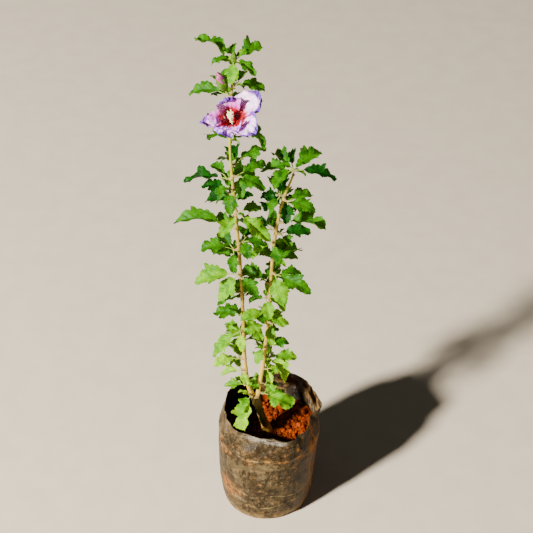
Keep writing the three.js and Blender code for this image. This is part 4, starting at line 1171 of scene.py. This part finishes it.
def antherTree():
    nodes, given = geometryTree("anthers", {"Density": "Float", "Size": "Float", "Seed": "Int"})
    core = given["Geometry"]
    spread = nodes.add("GeometryNodeDistributePointsOnFaces", {
        "Mesh": core, "Density": given["Density"], "Seed": given["Seed"]})
    bead = nodes.add("GeometryNodeMeshIcoSphere", {"Radius": given["Size"], "Subdivisions": 2})
    normal = Value(nodes, spread.socket.node.outputs["Normal"])
    lifted = nodes.add("GeometryNodeSetPosition", {
        "Geometry": spread, "Offset": nodes.scaled(normal, columnForm["antherLift"])})
    beads = nodes.add("GeometryNodeInstanceOnPoints", {"Points": lifted, "Instance": bead})
    return endTree(nodes, nodes.add("GeometryNodeJoinGeometry", {0: [core, beads]}), given["Material"])


coreLine = ([onFlower(a) for a in columnForm["core"][0]], columnForm["core"][1])
column = tubes("flowerColumn", [coreLine], columnCream, 14, 0.3, 1.5)
settle(grownBy(column, antherTree(), {**columnForm["anthers"], "Material": columnCream}))


# Buds: a green cup of ridged sepals and the furled tip of petals
def spindle(foot, tip, radii, ridges, twist, depth, rows=34, columns=40):
    axis = unit(tip - foot)
    side = unit(np.cross(axis, (0, 1, 0)))
    other = np.cross(axis, side)
    v = np.linspace(0, 1, rows)[:, None]
    angle = np.linspace(0, 2 * np.pi, columns, endpoint=False)[None, :]
    radius = np.interp(v, np.linspace(0, 1, len(radii)), radii)
    radius = radius * (1 + depth * np.cos(ridges * (angle + twist * v)))
    points = (foot + (tip - foot) * v[..., None] + side * (radius * np.cos(angle))[..., None]
              + other * (radius * np.sin(angle))[..., None])
    return points.reshape(-1, 3), barrelFaces(rows, columns)


def budPart(low, high, fullness, *ridges):  # a stretch of the large bud
    radii = np.interp(low + np.linspace(0, 1, 12) * (high - low), budForm["along"], budForm["radii"])
    return spindle(between(budForm["ends"], low), between(budForm["ends"], high), radii * fullness, *ridges)


tipForm = {"at": (681, 90), "ends": (1.5, 17.5), "radii": (1.1, 2.6, 3.3, 3.3, 2.9, 2.0, 0.6)}
tipEnds = [springFrom("left", *tipForm["at"])["root"] + up * height for height in tipForm["ends"]]
tipBud = spindle(*tipEnds, tipForm["radii"], 5, 0.3, 0.07, 18, 24)
settle(makePiece("budCup", *budPart(0, 0.64, 1, 5, 0.0, 0.05), [calyxGreen]), ["bud"])
settle(makePiece("budFurl", *budPart(0.5, 1, 0.93, 3, 2.4, 0.13), [budPink]))
settle(makePiece("tipBud", *tipBud, [calyxGreen]))

# Floor, light and camera
studioForm = {
    "floor": 6.0, "aim": (0, 0, 0.35), "sky": {"Color": (1.0, 0.97, 0.93), "Strength": 0.05},
    "lights": {"key": ((-3.24, -2.69, 2.75), 0.5, 1200.0, (1.0, 0.95, 0.87)),
               "fill": ((1.6, -0.8, 1.4), 1.6, 1.0, (1.0, 0.95, 0.88))},
    "camera": (0, -1.35, 1.5), "down": 39.3, "focal": 1440, "width": 533, "sensor": 36,
}


def floorLook(nodes):
    grain = nodes.noise(nodes.place(), 40).step(0.3, 0.7)
    return {"Base Color": nodes.mix(grain, (0.559, 0.479, 0.375), (0.591, 0.511, 0.399)), "Roughness": 0.8}


def studio():
    half = studioForm["floor"]
    mesh = bpy.data.meshes.new("studioFloor")
    corners = [(-half, -half, 0), (half, -half, 0), (half, half, 0), (-half, half, 0)]
    mesh.from_pydata(corners, [], [(0, 1, 2, 3)])
    mesh.materials.append(paint("studioFloor", floorLook))
    placed("studioFloor", mesh)
    world = bpy.data.worlds.new("studio")
    world.use_nodes = True
    nodes = Nodes(world.node_tree)
    nodes.add("ShaderNodeOutputWorld", {"Surface": nodes.add("ShaderNodeBackground", studioForm["sky"])})
    bpy.context.scene.world = world
    for name, (place, size, power, colour) in studioForm["lights"].items():
        light = bpy.data.lights.new(name, "AREA")
        light.shape, light.size, light.energy, light.color = "DISK", size, power, colour
        lamp = placed(name, light)
        lamp.location = place
        lamp.rotation_euler = (Vector(place) - Vector(studioForm["aim"])).to_track_quat("Z", "Y").to_euler()
    print("studio ready")


def photoCamera():
    camera = bpy.data.cameras.new("camera")
    camera.sensor_width = studioForm["sensor"]
    camera.lens = studioForm["sensor"] * studioForm["focal"] / studioForm["width"]
    view = placed("camera", camera)
    view.location = studioForm["camera"]
    view.rotation_euler = (math.radians(90 - studioForm["down"]), 0, 0)
    bpy.context.scene.camera = view


studio()
photoCamera()
print("scene ready")
